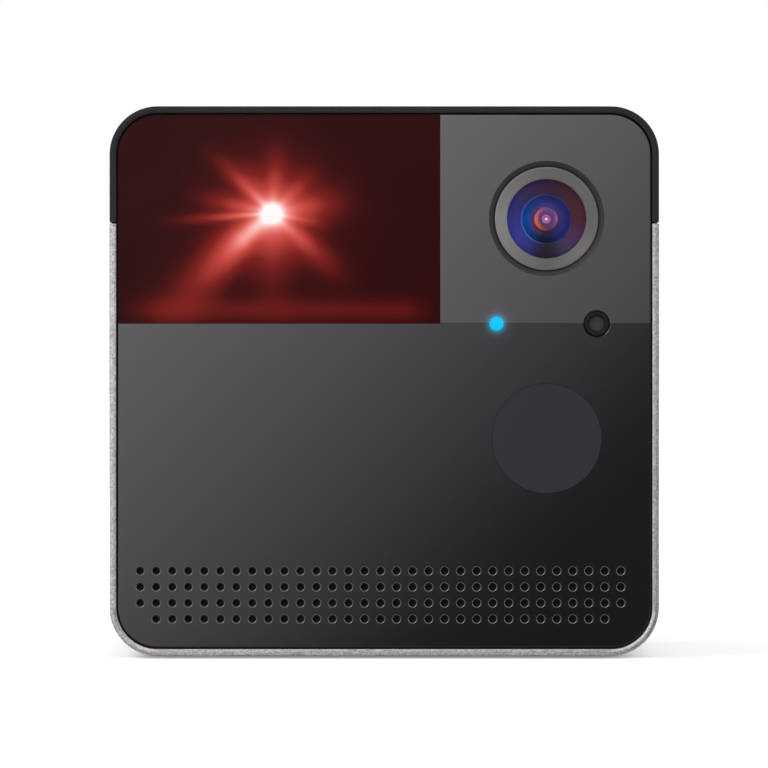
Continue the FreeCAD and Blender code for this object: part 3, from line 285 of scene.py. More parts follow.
# %% [markdown]
# Underneath, the rubber foot fills a window in the wrap, with a thin gap all round. The window is
# carved with a block a little larger than the foot. A fine break then makes the bright line along
# the wrap's front rim. The roof is the same tube, kept above the seam.

# %% The foot's window and the roof
rim_break = 0.14 * MM
foot_low, foot_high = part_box("foot_pad")
foot_gap = 0.1 * MM
foot_corner = 6.0 * MM
cut_reach = 5 * MM
opening = block(
    "foot_opening", (foot_low.x - foot_gap, foot_low.y - foot_gap, -cut_reach),
    (foot_high.x + foot_gap, foot_high.y + foot_gap, cut_reach),
)
round_corners(opening, foot_corner + foot_gap, axis=2)
carve(aluminium_wrap, opening)
break_edges(aluminium_wrap, rim_break)
smooth(aluminium_wrap)

plastic_roof = half_tube("plastic_roof", roof_low.z, False)
break_edges(plastic_roof, rim_break)
smooth(plastic_roof)
print(summary(aluminium_wrap, plastic_roof))

# %% [markdown]
# ## The three front panels
# They are cut from one polished plate, so they share its outer corners and meet in hairline seams.
# Each starts as a block, gets the plate's corner where it has one, and a fine break along its rim.
# Along the seams the break is finer still, so that they catch less light than the outer rim.

# %% Panel blanks
panel_corner = 5.75 * MM
panel_break = 0.12 * MM
seam_break = 0.02 * MM
window_low, window_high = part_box("laser_window")
grille_low, grille_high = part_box("grille_panel")
eye_panel_low, eye_panel_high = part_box("camera_panel")


def on_seam(a, b):
    """One seam stands beside the laser's window, and one lies along the top of the lower panel."""
    middle = (a + b) / 2
    upright = abs(a.x - b.x) < CLOSE and abs(middle.x - window_high.x) < MM
    level = abs(a.z - b.z) < CLOSE and abs(middle.z - grille_high.z) < MM
    return upright or level


def panel_blank(name, low, high, corners):
    """corners holds (x side, z side) pairs, where a side is -1 or 1."""
    blank = block(name, low, high)
    centre = (low + high) / 2

    def at_corner(point):
        side = (1 if point.x > centre.x else -1, 1 if point.z > centre.z else -1)
        return side in corners

    round_corners(blank, panel_corner, wanted=at_corner)
    for width, at_seam in ((seam_break, True), (panel_break, False)):
        pick_edges(blank, lambda a, b: max(a.y, b.y) < low.y + CLOSE and on_seam(a, b) == at_seam)
        bpy.ops.mesh.bevel(offset=width, segments=2, affect="EDGES")
        put_down()
    return blank


print("Seams at x and z:", in_mm([window_high.x, grille_high.z]))

# %% [markdown]
# Holes are carved last. The cutter is a rod whose front end flares. The flare begins at the depth of
# the bevel and runs on past the front, so one cut makes both the hole and its bevel.

# %% Holes with a bevelled mouth
def rod(name, x, z, radius, y0, y1, sides=48):
    start_fresh()
    bpy.ops.mesh.primitive_cylinder_add(
        vertices=sides, radius=radius, depth=y1 - y0,
        location=(x, (y0 + y1) / 2, z), rotation=(math.pi / 2, 0, 0),
    )
    return settle(name)


def flared_rod(name, x, z, radius, bevel, sides=48):
    cutter = rod(name, x, z, radius, front_y + bevel, panel_back_y + 2 * MM, sides)
    pick_faces(cutter, lambda centre, normal: normal.y < -FACING)
    reach = 2 * bevel
    bpy.ops.mesh.extrude_region_move(TRANSFORM_OT_translate={"value": (0, -reach, 0)})
    bpy.ops.transform.resize(value=((radius + reach) / radius, 1, (radius + reach) / radius))
    put_down()
    return cutter


print("Holes pass a plate from y", *in_mm([front_y, panel_back_y]))

# %% [markdown]
# The lower panel carries the sound holes: four rows, the lowest two holes shorter. One hole is
# modelled and copied along its row and upwards with an Array, because all of them are drilled alike.

# %% Sound holes
hole_pitch = 2.333 * MM
hole_radius = 0.56 * MM
hole_bevel = 0.14 * MM
hole_sides = 16
hole_columns = 31
hole_rows = 4
lowest_row = 5.85 * MM
first_column = -35.55 * MM


def sound_holes(name, first, count, row, rows):
    """Cutters for a field of holes that starts at a column and a row, each counted from 0."""
    x, z = first_column + first * hole_pitch, lowest_row + row * hole_pitch
    cutter = flared_rod(name, x, z, hole_radius, hole_bevel, hole_sides)
    for copies, step in ((count, (hole_pitch, 0, 0)), (rows, (0, 0, hole_pitch))):
        apply_modifier(
            cutter, "ARRAY", count=copies, use_relative_offset=False, use_constant_offset=True,
            constant_offset_displace=step,
        )
    return cutter


upper_holes = sound_holes("upper_rows", 0, hole_columns, 1, hole_rows - 1)
lowest_holes = sound_holes("lowest_row", 1, hole_columns - 2, 0, 1)
print("Sound holes:", hole_columns * hole_rows - 2)

# %% [markdown]
# The same panel has a wide hole for the infrared window, and its half of two round ports that lie on
# the seam, one for the lamp and one for the microphone. The eye's panel has the other half of each,
# so one helper cuts both.

# %% The lower panel
port_bevel = 0.1 * MM
lamp_radius = 0.98 * MM
port_radius = 1.93 * MM
night_radius = 8.0 * MM
round_sides = 96


def seam_ports():
    return (
        flared_rod("lamp_hole", lamp.x, lamp.z, lamp_radius, port_bevel / 2),
        flared_rod("sound_port", microphone.x, microphone.z, port_radius, port_bevel),
    )


lower_panel = panel_blank("lower_panel", grille_low, grille_high, [(-1, -1), (1, -1)])
night_hole = flared_rod(
    "night_hole", night_window.x, night_window.z, night_radius, port_bevel / 10, round_sides
)
carve(lower_panel, upper_holes, lowest_holes, night_hole, *seam_ports())
smooth(lower_panel)
print(summary(lower_panel))

# %% [markdown]
# The eye's panel has one large hole, whose wide bevel leads down to the funnel. The laser's window
# has no hole at all, since the light comes through its plastic. The infrared window is a dark disc
# that lies flush in its hole, with hardly any break, so that disc and panel read as one surface.

# %% The eye's panel, the laser's window and the night disc
eye_hole = 7.65 * MM
eye_bevel = 0.75 * MM
disc_break = 0.015 * MM
eye_panel = panel_blank("eye_panel", eye_panel_low, eye_panel_high, [(1, 1)])
carve(eye_panel, flared_rod("eye_hole", eye.x, eye.z, eye_hole, eye_bevel, round_sides), *seam_ports())
smooth(eye_panel)

red_window = panel_blank("red_window", window_low, window_high, [(-1, 1)])
smooth(red_window)

night_low, night_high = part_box("infrared_window")
night_disc = rod("night_disc", night_window.x, night_window.z, night_high.x - night_window.x,
                 night_low.y, night_high.y, round_sides)
break_edges(night_disc, disc_break)
smooth(night_disc)
print(summary(eye_panel, red_window, night_disc))

# %% [markdown]
# ## The eye
# Four turned pieces sit one behind the other: a satin funnel, a domed glass, a black barrel whose
# front is a shallow bowl, and a smaller lens deep in it. Round pieces are easiest as on a lathe. A
# single point is pushed along the profile with extrude, and the line is then spun once round its
# axis. The seam is merged, and the faces are turned outwards.

# %% Turned pieces
def turned(name, profile, centre, axis="Y", steps=48):
    """profile holds (radius, place along the axis) pairs. A closed profile repeats its first pair."""
    def place(radius, along):
        if axis == "Y":
            return Vector((centre.x + radius, along, centre.z))
        return Vector((centre.x + radius, centre.y, along))

    start_fresh()
    bpy.ops.mesh.primitive_plane_add(size=MM, location=(0, 0, 0))
    piece = call_it(name)
    open_all()
    bpy.ops.mesh.merge(type="CENTER")
    points = [place(*pair) for pair in profile]
    bpy.ops.transform.translate(value=points[0])
    for before, after in zip(points, points[1:]):
        bpy.ops.mesh.extrude_region_move(TRANSFORM_OT_translate={"value": after - before})
    bpy.ops.mesh.select_all(action="SELECT")
    bpy.ops.mesh.spin(
        steps=steps, angle=2 * math.pi, center=(centre.x, centre.y, centre.z),
        axis=(0, 1, 0) if axis == "Y" else (0, 0, 1),
    )
    bpy.ops.mesh.select_all(action="SELECT")
    bpy.ops.mesh.remove_doubles(threshold=CLOSE)
    bpy.ops.mesh.normals_make_consistent(inside=False)
    put_down()
    return piece


eye_steps = 96
print("The eye is turned in", eye_steps, "steps")

# %% [markdown]
# The funnel is a shallow satin cone. It has a rounded lip, a slope that leads in to the glass, and a
# straight wall behind that, where the barrel slides in.

# %% Funnel
funnel_low, funnel_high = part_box("lens_bezel")
funnel_outer = funnel_high.x - eye.x
funnel_front, funnel_back = funnel_low.y, funnel_high.y
glass_low, glass_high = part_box("lens_glass")
glass_radius = glass_high.x - eye.x
funnel_inner = glass_radius + 0.05 * MM
lip = 0.12 * MM
funnel = turned("eye_funnel", [
    (funnel_outer, funnel_back), (funnel_outer, funnel_front + lip),
    (funnel_outer - 0.3 * lip, funnel_front + 0.3 * lip), (funnel_outer - lip, funnel_front),
    (funnel_outer - 2.2 * lip, funnel_front + 0.25 * lip),
    (funnel_outer - 0.75 * MM, funnel_front + 0.24 * MM),
    (funnel_inner + 0.5 * MM, funnel_front + 0.46 * MM),
    (funnel_inner + 0.1 * MM, funnel_front + 0.54 * MM), (funnel_inner, funnel_front + 0.6 * MM),
    (funnel_inner, funnel_back), (funnel_outer, funnel_back),
], eye, steps=eye_steps)
smooth(funnel, 40)
print(summary(funnel))

# %% [markdown]
# The front glass is a cap cut from a ball. Its rise and its radius give the ball's size, and the
# profile follows the ball in equal turns, so that its highlight runs without a kink.

# %% Domed glass
glass_edge = 0.3 * MM
dome_rings = 10
dome_rise = glass_high.y - glass_edge - glass_low.y
bulge = (glass_radius ** 2 + dome_rise ** 2) / (2 * dome_rise)
widest = math.asin(glass_radius / bulge)
dome_profile = []
for ring in range(dome_rings + 1):
    turn = widest * ring / dome_rings
    dome_profile.append((bulge * math.sin(turn), glass_low.y + bulge - bulge * math.cos(turn)))
dome_profile += [(glass_radius, glass_high.y), (0, glass_high.y)]
glass_dome = turned("eye_glass", dome_profile, eye, steps=eye_steps)
smooth(glass_dome, 40)
print("Dome cut from a ball of radius", round(bulge / MM, 1), "mm;", summary(glass_dome))

# %% [markdown]
# Behind the glass, the barrel's front is hollowed to a shallow bowl with a step for the inner lens.
# The profile is closed: it goes down the outside, back through the bore and out along the bowl.

# %% Barrel with its bowl
barrel_low, barrel_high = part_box("lens_barrel")
barrel_head = barrel_high.x - eye.x
barrel_neck = 6.0 * MM
barrel_bore = 2.4 * MM
shoulder_y = barrel_low.y + 4.5 * MM
inner_low, inner_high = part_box("lens_inner_element")
inner_radius = inner_high.x - eye.x
bowl_rim = glass_radius - 0.02 * MM
bowl_front = glass_high.y + 0.05 * MM
step_radius = inner_radius + 0.06 * MM
step_y = inner_high.y + 0.02 * MM
bowl = turned("eye_barrel", [
    (funnel_inner, barrel_low.y), (barrel_head, barrel_low.y), (barrel_head, shoulder_y),
    (barrel_neck, shoulder_y), (barrel_neck, barrel_high.y), (barrel_bore, barrel_high.y),
    (barrel_bore, step_y), (step_radius, step_y),
    (step_radius, inner_low.y - 0.3 * MM), (step_radius + 0.12 * MM, inner_low.y - 0.42 * MM),
    (step_radius + 0.8 * MM, inner_low.y - 0.7 * MM), (bowl_rim - 0.5 * MM, bowl_front + 0.45 * MM),
    (bowl_rim, bowl_front), (funnel_inner, bowl_front - 0.02 * MM), (funnel_inner, barrel_low.y),
], eye, steps=eye_steps)
smooth(bowl, 30)
print(summary(bowl))

# %% [markdown]
# The inner lens has a flat middle, a groove round it and a curved shoulder, which give its coating the
# small bright edges that the photograph shows. Its coating's colours paint highlights there as well.

# %% Inner lens
inner_lens = turned("eye_inner_lens", [
    (0, inner_low.y), (0.9 * MM, inner_low.y + 0.04 * MM), (1.63 * MM, inner_low.y + 0.13 * MM),
    (1.72 * MM, inner_low.y + 0.3 * MM), (2.3 * MM, inner_low.y + 0.36 * MM),
    (3.0 * MM, inner_low.y + 0.6 * MM), (inner_radius, inner_low.y + 0.9 * MM),
    (inner_radius, inner_high.y), (0, inner_high.y),
], eye, steps=eye_steps)
smooth(inner_lens, 50)
print(summary(inner_lens))

# %% [markdown]
# ## Lamp and microphone
# The status lamp is the end of a clear pipe with a slight dome. A collar further back holds it in
# its seat, as such pipes are moulded.

# %% Lamp pipe
pipe_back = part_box("lamp_light_pipe")[1].y
pipe_radius = 0.95 * MM
collar_radius = 1.75 * MM
collar_front = front_y + 4.2 * MM
light_pipe = turned("lamp_pipe", [
    (0, front_y - 0.06 * MM), (0.5 * MM, front_y - 0.03 * MM), (0.85 * MM, front_y + 0.03 * MM),
    (pipe_radius, front_y + 0.12 * MM), (pipe_radius, collar_front), (collar_radius, collar_front),
    (collar_radius, collar_front + 0.7 * MM), (pipe_radius, collar_front + 0.7 * MM),
    (pipe_radius, pipe_back), (0, pipe_back),
], lamp)
smooth(light_pipe, 50)
print(summary(light_pipe))

# %% [markdown]
# The microphone hides behind a rubber sleeve with a rolled lip and a wide flange. It is turned too.

# %% Microphone sleeve
sleeve_low, sleeve_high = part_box("microphone_boot")
sleeve_outer = 1.85 * MM
sleeve_bore = 1.1 * MM
flange_front = sleeve_high.y - 0.7 * MM
sleeve = turned("microphone_sleeve", [
    (sleeve_bore, sleeve_low.y + 0.35 * MM), (sleeve_bore + 0.12 * MM, sleeve_low.y + 0.12 * MM),
    (sleeve_bore + 0.35 * MM, sleeve_low.y), (sleeve_outer - 0.15 * MM, sleeve_low.y + 0.02 * MM),
    (sleeve_outer, sleeve_low.y + 0.2 * MM), (sleeve_outer, flange_front),
    (sleeve_outer + 1.0 * MM, flange_front), (sleeve_outer + 1.0 * MM, sleeve_high.y),
    (sleeve_bore, sleeve_high.y), (sleeve_bore, sleeve_low.y + 0.35 * MM),
], microphone)
smooth(sleeve, 50)
print(summary(sleeve))

# %% [markdown]
# ## The back
# The back plate has a deep well for the power plug, a hole for the reset button and four sunk
# screws. The plate is a block with a rounded rim, and a second block behind it holds the well's
# walls. A boolean welds the two, so that the well can be carved through both.

# %% Back plate
cover_low, cover_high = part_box("rear_cover")
cover_front = cover_high.y - 2.0 * MM
cover_round = 0.6 * MM
socket_centre = middle_of("power_socket")
well_width, well_height, well_depth = 14.0 * MM, 8.4 * MM, 6.8 * MM
well_wall, well_corner = 1.2 * MM, 2.0 * MM


def rounded_block(name, width, height, corner, y0, y1):
    """A block round the power socket's axis."""
    z = socket_centre.z
    piece = block(name, (-width / 2, y0, z - height / 2), (width / 2, y1, z + height / 2))
    round_corners(piece, corner, segments=8)
    return piece


back_plate = block("back_plate", (cover_low.x, cover_front, cover_low.z), cover_high)
round_corners(back_plate, panel_corner)
pick_edges(back_plate, lambda a, b: min(a.y, b.y) > cover_high.y - CLOSE)
bpy.ops.mesh.bevel(offset=cover_round, segments=4, affect="EDGES")
put_down()
well_walls = rounded_block(
    "well_walls", well_width + 2 * well_wall, well_height + 2 * well_wall,
    well_corner + well_wall, cover_low.y, cover_front + 0.5 * MM,
)
combine(back_plate, [well_walls], "UNION")
print(summary(back_plate))

# %% [markdown]
# Now the plate is carved: the well, the socket's mouth at its bottom, the button's hole, and for
# each screw a hole for its shank and a recess for its head.

# %% Well, mouth and holes
button_centre = middle_of("reset_button")
button_hole = 2.1 * MM
screw_places = [(x, z) for x in (-32.5 * MM, 32.5 * MM) for z in (10.0 * MM, 71.0 * MM)]
shank_hole = 0.95 * MM
screw_recess = 2.3 * MM
screw_seat = cover_high.y - 1.2 * MM
socket_play = 0.1 * MM
socket_low, socket_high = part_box("power_socket")
mouth_width = socket_high.x - socket_low.x + 2 * socket_play
mouth_height = socket_high.z - socket_low.z + 2 * socket_play
nearly_half = 0.02 * MM
hole_start, hole_end = cover_front - MM, cover_high.y + MM
carve(
    back_plate,
    rounded_block("well", well_width, well_height, well_corner, cover_high.y - well_depth, hole_end),
    rounded_block(
        "mouth", mouth_width, mouth_height, mouth_height / 2 - nearly_half,
        cover_low.y - MM, cover_high.y - MM,
    ),
    rod("button_hole", button_centre.x, button_centre.z, button_hole, hole_start, hole_end),
)
for x, z in screw_places:
    carve(
        back_plate,
        rod("shank_hole", x, z, shank_hole, hole_start, hole_end, 24),
        rod("head_recess", x, z, screw_recess, screw_seat, hole_end),
    )
break_edges(back_plate, 0.1 * MM, angle=50)
smooth(back_plate)
print(summary(back_plate))

# %% [markdown]
# One screw is modelled with a cross in its head, and copied to the four places. The copies are joined,
# because the measured model holds the four screws as one piece too.

# %% Back screws
head_radius = 1.7 * MM
head_height = 1.0 * MM
shank_radius = 0.75 * MM
shank_length = 5.0 * MM
cross_width = 0.42 * MM
cross_reach = 1.15 * MM
cross_depth = 0.55 * MM


def cross_screw(name, x, z):
    centre = Vector((x, 0, z))
    top = screw_seat + head_height
    screw = turned(name, [
        (0, top), (head_radius - 0.35 * MM, top - 0.03 * MM), (head_radius - 0.1 * MM, top - 0.14 * MM),
        (head_radius, top - 0.4 * MM), (head_radius, screw_seat), (shank_radius, screw_seat),
        (shank_radius, screw_seat - shank_length + 0.5 * MM), (0.2 * MM, screw_seat - shank_length),
        (0, screw_seat - shank_length),
    ], centre, steps=40)
    for width, height in ((cross_reach, cross_width / 2), (cross_width / 2, cross_reach)):
        carve(screw, block(
            "cross", (x - width, top - cross_depth, z - height), (x + width, top + MM, z + height)
        ))
    return smooth(screw, 40)


def join_all(name, pieces):
    take_up(pieces[0])
    for piece in pieces:
        piece.select_set(True)
    bpy.ops.object.join()
    return call_it(name)


back_screws = join_all("back_screws", [cross_screw("back_screw", x, z) for x, z in screw_places])
print(summary(back_screws))

# %% [markdown]
# The reset button is a stem with a flange that keeps it from falling out, and a dished top for the
# fingertip. It is turned like the lenses, and it stays a piece of its own, because it moves.

# %% Reset button
button_low, button_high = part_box("reset_button")
button_radius = 2.0 * MM
button_flange = 3.0 * MM
flange_back = cover_front - 0.05 * MM
flange_depth = 0.9 * MM
stem_radius = 1.2 * MM
reset_key = turned("reset_key", [
    (0, button_high.y - 0.14 * MM), (1.1 * MM, button_high.y - 0.09 * MM),
    (1.6 * MM, button_high.y), (1.85 * MM, button_high.y - 0.03 * MM),
    (button_radius, button_high.y - 0.18 * MM), (button_radius, flange_back),
    (button_flange, flange_back),
    (button_flange, flange_back - flange_depth), (stem_radius, flange_back - flange_depth),
    (stem_radius, button_low.y), (0, button_low.y),
], button_centre)
smooth(reset_key, 35)
print(summary(reset_key))

# %% [markdown]
# The power socket is a drawn steel shell round a black tongue with plated contacts. The measured
# model holds it as one solid, so here the shell and the tongue are made apart and stand for it. The
# shell is a rounded block, carved out almost to its bottom with a smaller one.

# %% Power socket's shell
socket_front, socket_mouth = socket_low.y, socket_high.y
shell_width, shell_height = socket_high.x - socket_low.x, socket_high.z - socket_low.z
socket_wall = 0.3 * MM
socket_shell = rounded_block(
    "socket_shell", shell_width, shell_height, shell_height / 2 - nearly_half, socket_front, socket_mouth
)
carve(socket_shell, rounded_block(
    "socket_mouth", shell_width - 2 * socket_wall, shell_height - 2 * socket_wall,
    shell_height / 2 - socket_wall - nearly_half, socket_front + MM, socket_mouth + MM,
))
break_edges(socket_shell, 0.06 * MM, angle=50)
smooth(socket_shell)
print(summary(socket_shell))

# %% [markdown]
# The tongue stands in the middle of the shell, with a row of thin contacts laid across it. One
# contact is a small block, and the row is joined to one piece, because it is plated metal.

# %% Tongue and contacts
tongue_half = 3.3 * MM
tongue_thick = 0.35 * MM
tongue = block(
    "socket_tongue", (-tongue_half, socket_front + 0.9 * MM, socket_centre.z - tongue_thick),
    (tongue_half, socket_mouth - 0.8 * MM, socket_centre.z + tongue_thick),
)
break_edges(tongue, 0.15 * MM)
smooth(tongue)

contact_count = 12
contact_pitch = 0.5 * MM
contact_half = 0.12 * MM
contact_proud = 0.02 * MM
contacts = []
for k in range(contact_count):
    x = (k - (contact_count - 1) / 2) * contact_pitch
    rise = tongue_thick + contact_proud
    contact = block(
        "contact", (x - contact_half, socket_front + 2 * MM, socket_centre.z - rise),
        (x + contact_half, socket_mouth - 1.1 * MM, socket_centre.z + rise),
    )
    break_edges(contact, 0.01 * MM, segments=1)
    contacts.append(contact)
contacts = join_all("socket_contacts", contacts)
print(summary(tongue, contacts))

# %% [markdown]
# ## Underneath
# The rubber foot fills the window in the wrap. Its sole gets a shallow groove, as such feet have:
# two insets mark the groove's edges, and the ring of faces between them is pushed in by extrude.

# %% Rubber foot
foot = block("rubber_foot", foot_low, foot_high)
round_corners(foot, foot_corner, axis=2)
groove_margin = 3.0 * MM
groove_width = 1.2 * MM
groove_depth = 0.35 * MM
pick_faces(foot, lambda centre, normal: normal.z < -FACING)
bpy.ops.mesh.inset(thickness=groove_margin)
bpy.ops.mesh.inset(thickness=groove_width)
put_down()
groove_inner = foot_high.x - groove_margin - groove_width
groove_outer = foot_high.x - groove_margin


def in_groove(centre, normal):
    x, y = abs(centre.x), abs(centre.y)
    along_side = groove_inner < max(x, y) < groove_outer
    from_corner = math.hypot(x - foot_high.x + foot_corner, y - foot_high.y + foot_corner)
    near_corner = min(x, y) > foot_high.x - foot_corner - MM
    round_corner = from_corner < foot_corner - groove_margin and near_corner
    return normal.z < -FACING and (along_side or round_corner)


pick_faces(foot, in_groove)
bpy.ops.mesh.extrude_region_move(TRANSFORM_OT_translate={"value": (0, 0, groove_depth)})
put_down()
print(summary(foot))

# %% [markdown]
# In the foot's middle sits a brass insert, so a round hole is carved for it. The edges are then
# broken all over, because moulded rubber has no sharp ones.

# %% The insert's hole
insert_hole = 4.8 * MM
start_fresh()
bpy.ops.mesh.primitive_cylinder_add(vertices=64, radius=insert_hole, depth=10 * MM, location=(0, 0, 0))
carve(foot, settle("insert_hole"))
break_edges(foot, 0.12 * MM, angle=50)
smooth(foot)
print(summary(foot))

# %% [markdown]
# The insert is turned round the upright axis: a barrel with a flange at its top, where it can't be
# pulled out of the housing, and a bore for the tripod's screw.

# %% Brass insert
insert_low, insert_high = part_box("tripod_insert")
thread_crest = 2.6 * MM
thread_root = 3.1 * MM
bore_depth = 7.0 * MM
barrel_radius = 4.5 * MM
flange_radius = insert_high.x
flange_z = 3.0 * MM
insert = turned("brass_insert", [
    (thread_crest, insert_low.z + 0.45 * MM), (thread_root, insert_low.z),
    (barrel_radius - 0.2 * MM, insert_low.z),
    (barrel_radius, insert_low.z + 0.2 * MM), (barrel_radius, flange_z), (flange_radius, flange_z),
    (flange_radius, insert_high.z), (0, insert_high.z), (0, insert_low.z + bore_depth),
    (thread_root, insert_low.z + bore_depth), (thread_root, insert_low.z + 0.9 * MM),
    (thread_crest, insert_low.z + 0.45 * MM),
], Vector((0, 0, 0)), axis="Z", steps=64)
smooth(insert, 40)
print(summary(insert))

# %% [markdown]
# The thread is one ridge. A triangle stands upright at the wall of the bore, and a Screw modifier
# carries it round and up. Its two ends are closed, and its faces are turned outwards.

# %% Thread
thread_pitch = 1.27 * MM
thread_turns = 5
thread_steps = 40
ridge = 0.4 * MM
ridge_sunk = 0.18 * MM
thread_start = 1.1 * MM
start_fresh()
bpy.ops.mesh.primitive_circle_add(vertices=3, radius=ridge, location=(0, 0, 0))
thread = call_it("brass_thread")
open_all()
for axis in ("X", "Y"):
    bpy.ops.transform.rotate(value=math.pi / 2, orient_axis=axis, center_override=(0, 0, 0))
bpy.ops.transform.translate(value=(thread_root - ridge_sunk, 0, insert_low.z + thread_start))
put_down()
apply_modifier(
    thread, "SCREW", axis="Z", screw_offset=thread_pitch, iterations=thread_turns - 1,
    steps=thread_steps, render_steps=thread_steps, use_merge_vertices=False,
)
take_up(thread)
open_all()
bpy.ops.mesh.fill_holes(sides=4)
bpy.ops.mesh.select_all(action="SELECT")
bpy.ops.mesh.normals_make_consistent(inside=False)
put_down()
smooth(thread, 40)
print(summary(thread))

# %% [markdown]
# ## Finishes
# Every finish starts from one Principled shader, whose plain numbers are set on its own sockets. What
# varies over the surface comes from a small group of nodes with named inputs. It reads the piece's
# own coordinates, so the grain is the same size on every piece, and it gives a colour that drifts a
# little, a roughness that drifts with it, and a height for a bump.

# %% Node helpers
def start_finish(name, **sockets):
    material = bpy.data.materials.new(name)
    material.use_nodes = True
    shader = material.node_tree.nodes["Principled BSDF"]
    for label, value in sockets.items():
        shader.inputs[label.replace("_", " ")].default_value = value
    return material, material.node_tree, shader


def add_node(tree, kind, settings=None, **inputs):
    node = tree.nodes.new(kind)
    for key, value in (settings or {}).items():
        setattr(node, key, value)
    for label, value in inputs.items():
        numbered = label[0] == "i" and label[1:].isdigit()
        socket = node.inputs[int(label[1:]) if numbered else label.replace("_", " ")]
        if isinstance(value, bpy.types.NodeSocket):
            tree.links.new(value, socket)
        else:
            socket.default_value = value
    return node


def sum_up(tree, operation, *values):
    """One Math node: values are numbers or sockets."""
    inputs = {f"i{k}": value for k, value in enumerate(values)}
    return add_node(tree, "ShaderNodeMath", {"operation": operation}, **inputs).outputs[0]


def held(tree, value):
    """Keeps a value between 0 and 1."""
    return add_node(tree, "ShaderNodeClamp", Value=value).outputs[0]


print("Materials that the measured model came with:", len(bpy.data.materials))

# %% [markdown]
# A group is built once, and each material that uses it sets its named inputs. The grain group adds
# a little of a broad pattern to a fine one, as on real surfaces, where wear lies over the grain.

# %% The grain group
broad_share = 0.12


def new_group(name, inputs, outputs):
    group = bpy.data.node_groups.new(name, "ShaderNodeTree")
    for label, kind, value in inputs:
        socket = group.interface.new_socket(label, in_out="INPUT", socket_type=kind)
        socket.default_value = value
    for label, kind in outputs:
        group.interface.new_socket(label, in_out="OUTPUT", socket_type=kind)
    return group, group.nodes.new("NodeGroupInput"), group.nodes.new("NodeGroupOutput")


grain, grain_in, grain_out = new_group(
    "surface_grain",
    [
        ("Color", "NodeSocketColor", (0.5, 0.5, 0.5, 1)), ("Color Drift", "NodeSocketFloat", 0.1),
        ("Roughness", "NodeSocketFloat", 0.5), ("Roughness Drift", "NodeSocketFloat", 0.05),
        ("Grain Scale", "NodeSocketFloat", 3000.0), ("Mark Scale", "NodeSocketFloat", 60.0),
    ],
    [("Color", "NodeSocketColor"), ("Roughness", "NodeSocketFloat"), ("Height", "NodeSocketFloat")],
)
place_in = add_node(grain, "ShaderNodeTexCoord")
fine = add_node(grain, "ShaderNodeTexNoise", Vector=place_in.outputs["Object"],
                Scale=grain_in.outputs["Grain Scale"], Detail=3.0, Roughness=0.6)
broad = add_node(grain, "ShaderNodeTexNoise", Vector=place_in.outputs["Object"],
                 Scale=grain_in.outputs["Mark Scale"], Detail=4.0, Roughness=0.65)
fine_swing = sum_up(grain, "SUBTRACT", fine.outputs["Fac"], 0.5)
broad_swing = sum_up(grain, "SUBTRACT", broad.outputs["Fac"], 0.5)
both = sum_up(grain, "ADD", fine_swing, sum_up(grain, "MULTIPLY", broad_swing, broad_share))
shade = sum_up(grain, "MULTIPLY_ADD", both, grain_in.outputs["Color Drift"], 1.0)
tinted = add_node(grain, "ShaderNodeVectorMath", {"operation": "SCALE"},
                  i0=grain_in.outputs["Color"], Scale=shade)
rough = sum_up(grain, "MULTIPLY_ADD", broad_swing, grain_in.outputs["Roughness Drift"],
               grain_in.outputs["Roughness"])
grain.links.new(tinted.outputs[0], grain_out.inputs["Color"])
grain.links.new(rough, grain_out.inputs["Roughness"])
grain.links.new(fine.outputs["Fac"], grain_out.inputs["Height"])
print("Grain group:", len(grain.nodes), "nodes")

# %% [markdown]
# One helper then makes any plain finish: it places the grain group in a new material, and adds a
# bump where the real surface can be felt.

# %% Grained finishes
plain_depth = 0.02 * MM


def grained(name, colour, roughness, colour_drift=0.1, roughness_drift=0.1, grain_scale=3000.0,
            mark_scale=60.0, bump=0.0, bump_depth=plain_depth, **sockets):
    material, tree, shader = start_finish(name, **sockets)
    group = add_node(tree, "ShaderNodeGroup", {"node_tree": grain}, Color=(*colour, 1),
                     Color_Drift=colour_drift, Roughness=roughness, Roughness_Drift=roughness_drift,
                     Grain_Scale=grain_scale, Mark_Scale=mark_scale)
    tree.links.new(group.outputs["Color"], shader.inputs["Base Color"])
    tree.links.new(group.outputs["Roughness"], shader.inputs["Roughness"])
    if bump:
        bumped = add_node(tree, "ShaderNodeBump", Strength=bump, Distance=bump_depth,
                          Height=group.outputs["Height"])
        tree.links.new(bumped.outputs[0], shader.inputs["Normal"])
    return material


print("Bumps are", in_mm([plain_depth]), "mm deep unless told otherwise")

# %% [markdown]
# The plain finishes come in one list: plastics, rubber, metals, boards and chips. Bead-blasted
# aluminium is the one that shows most. Its grain is about a quarter of a millimetre, with sparkle
# from both the bump and the colour, under clear anodising.

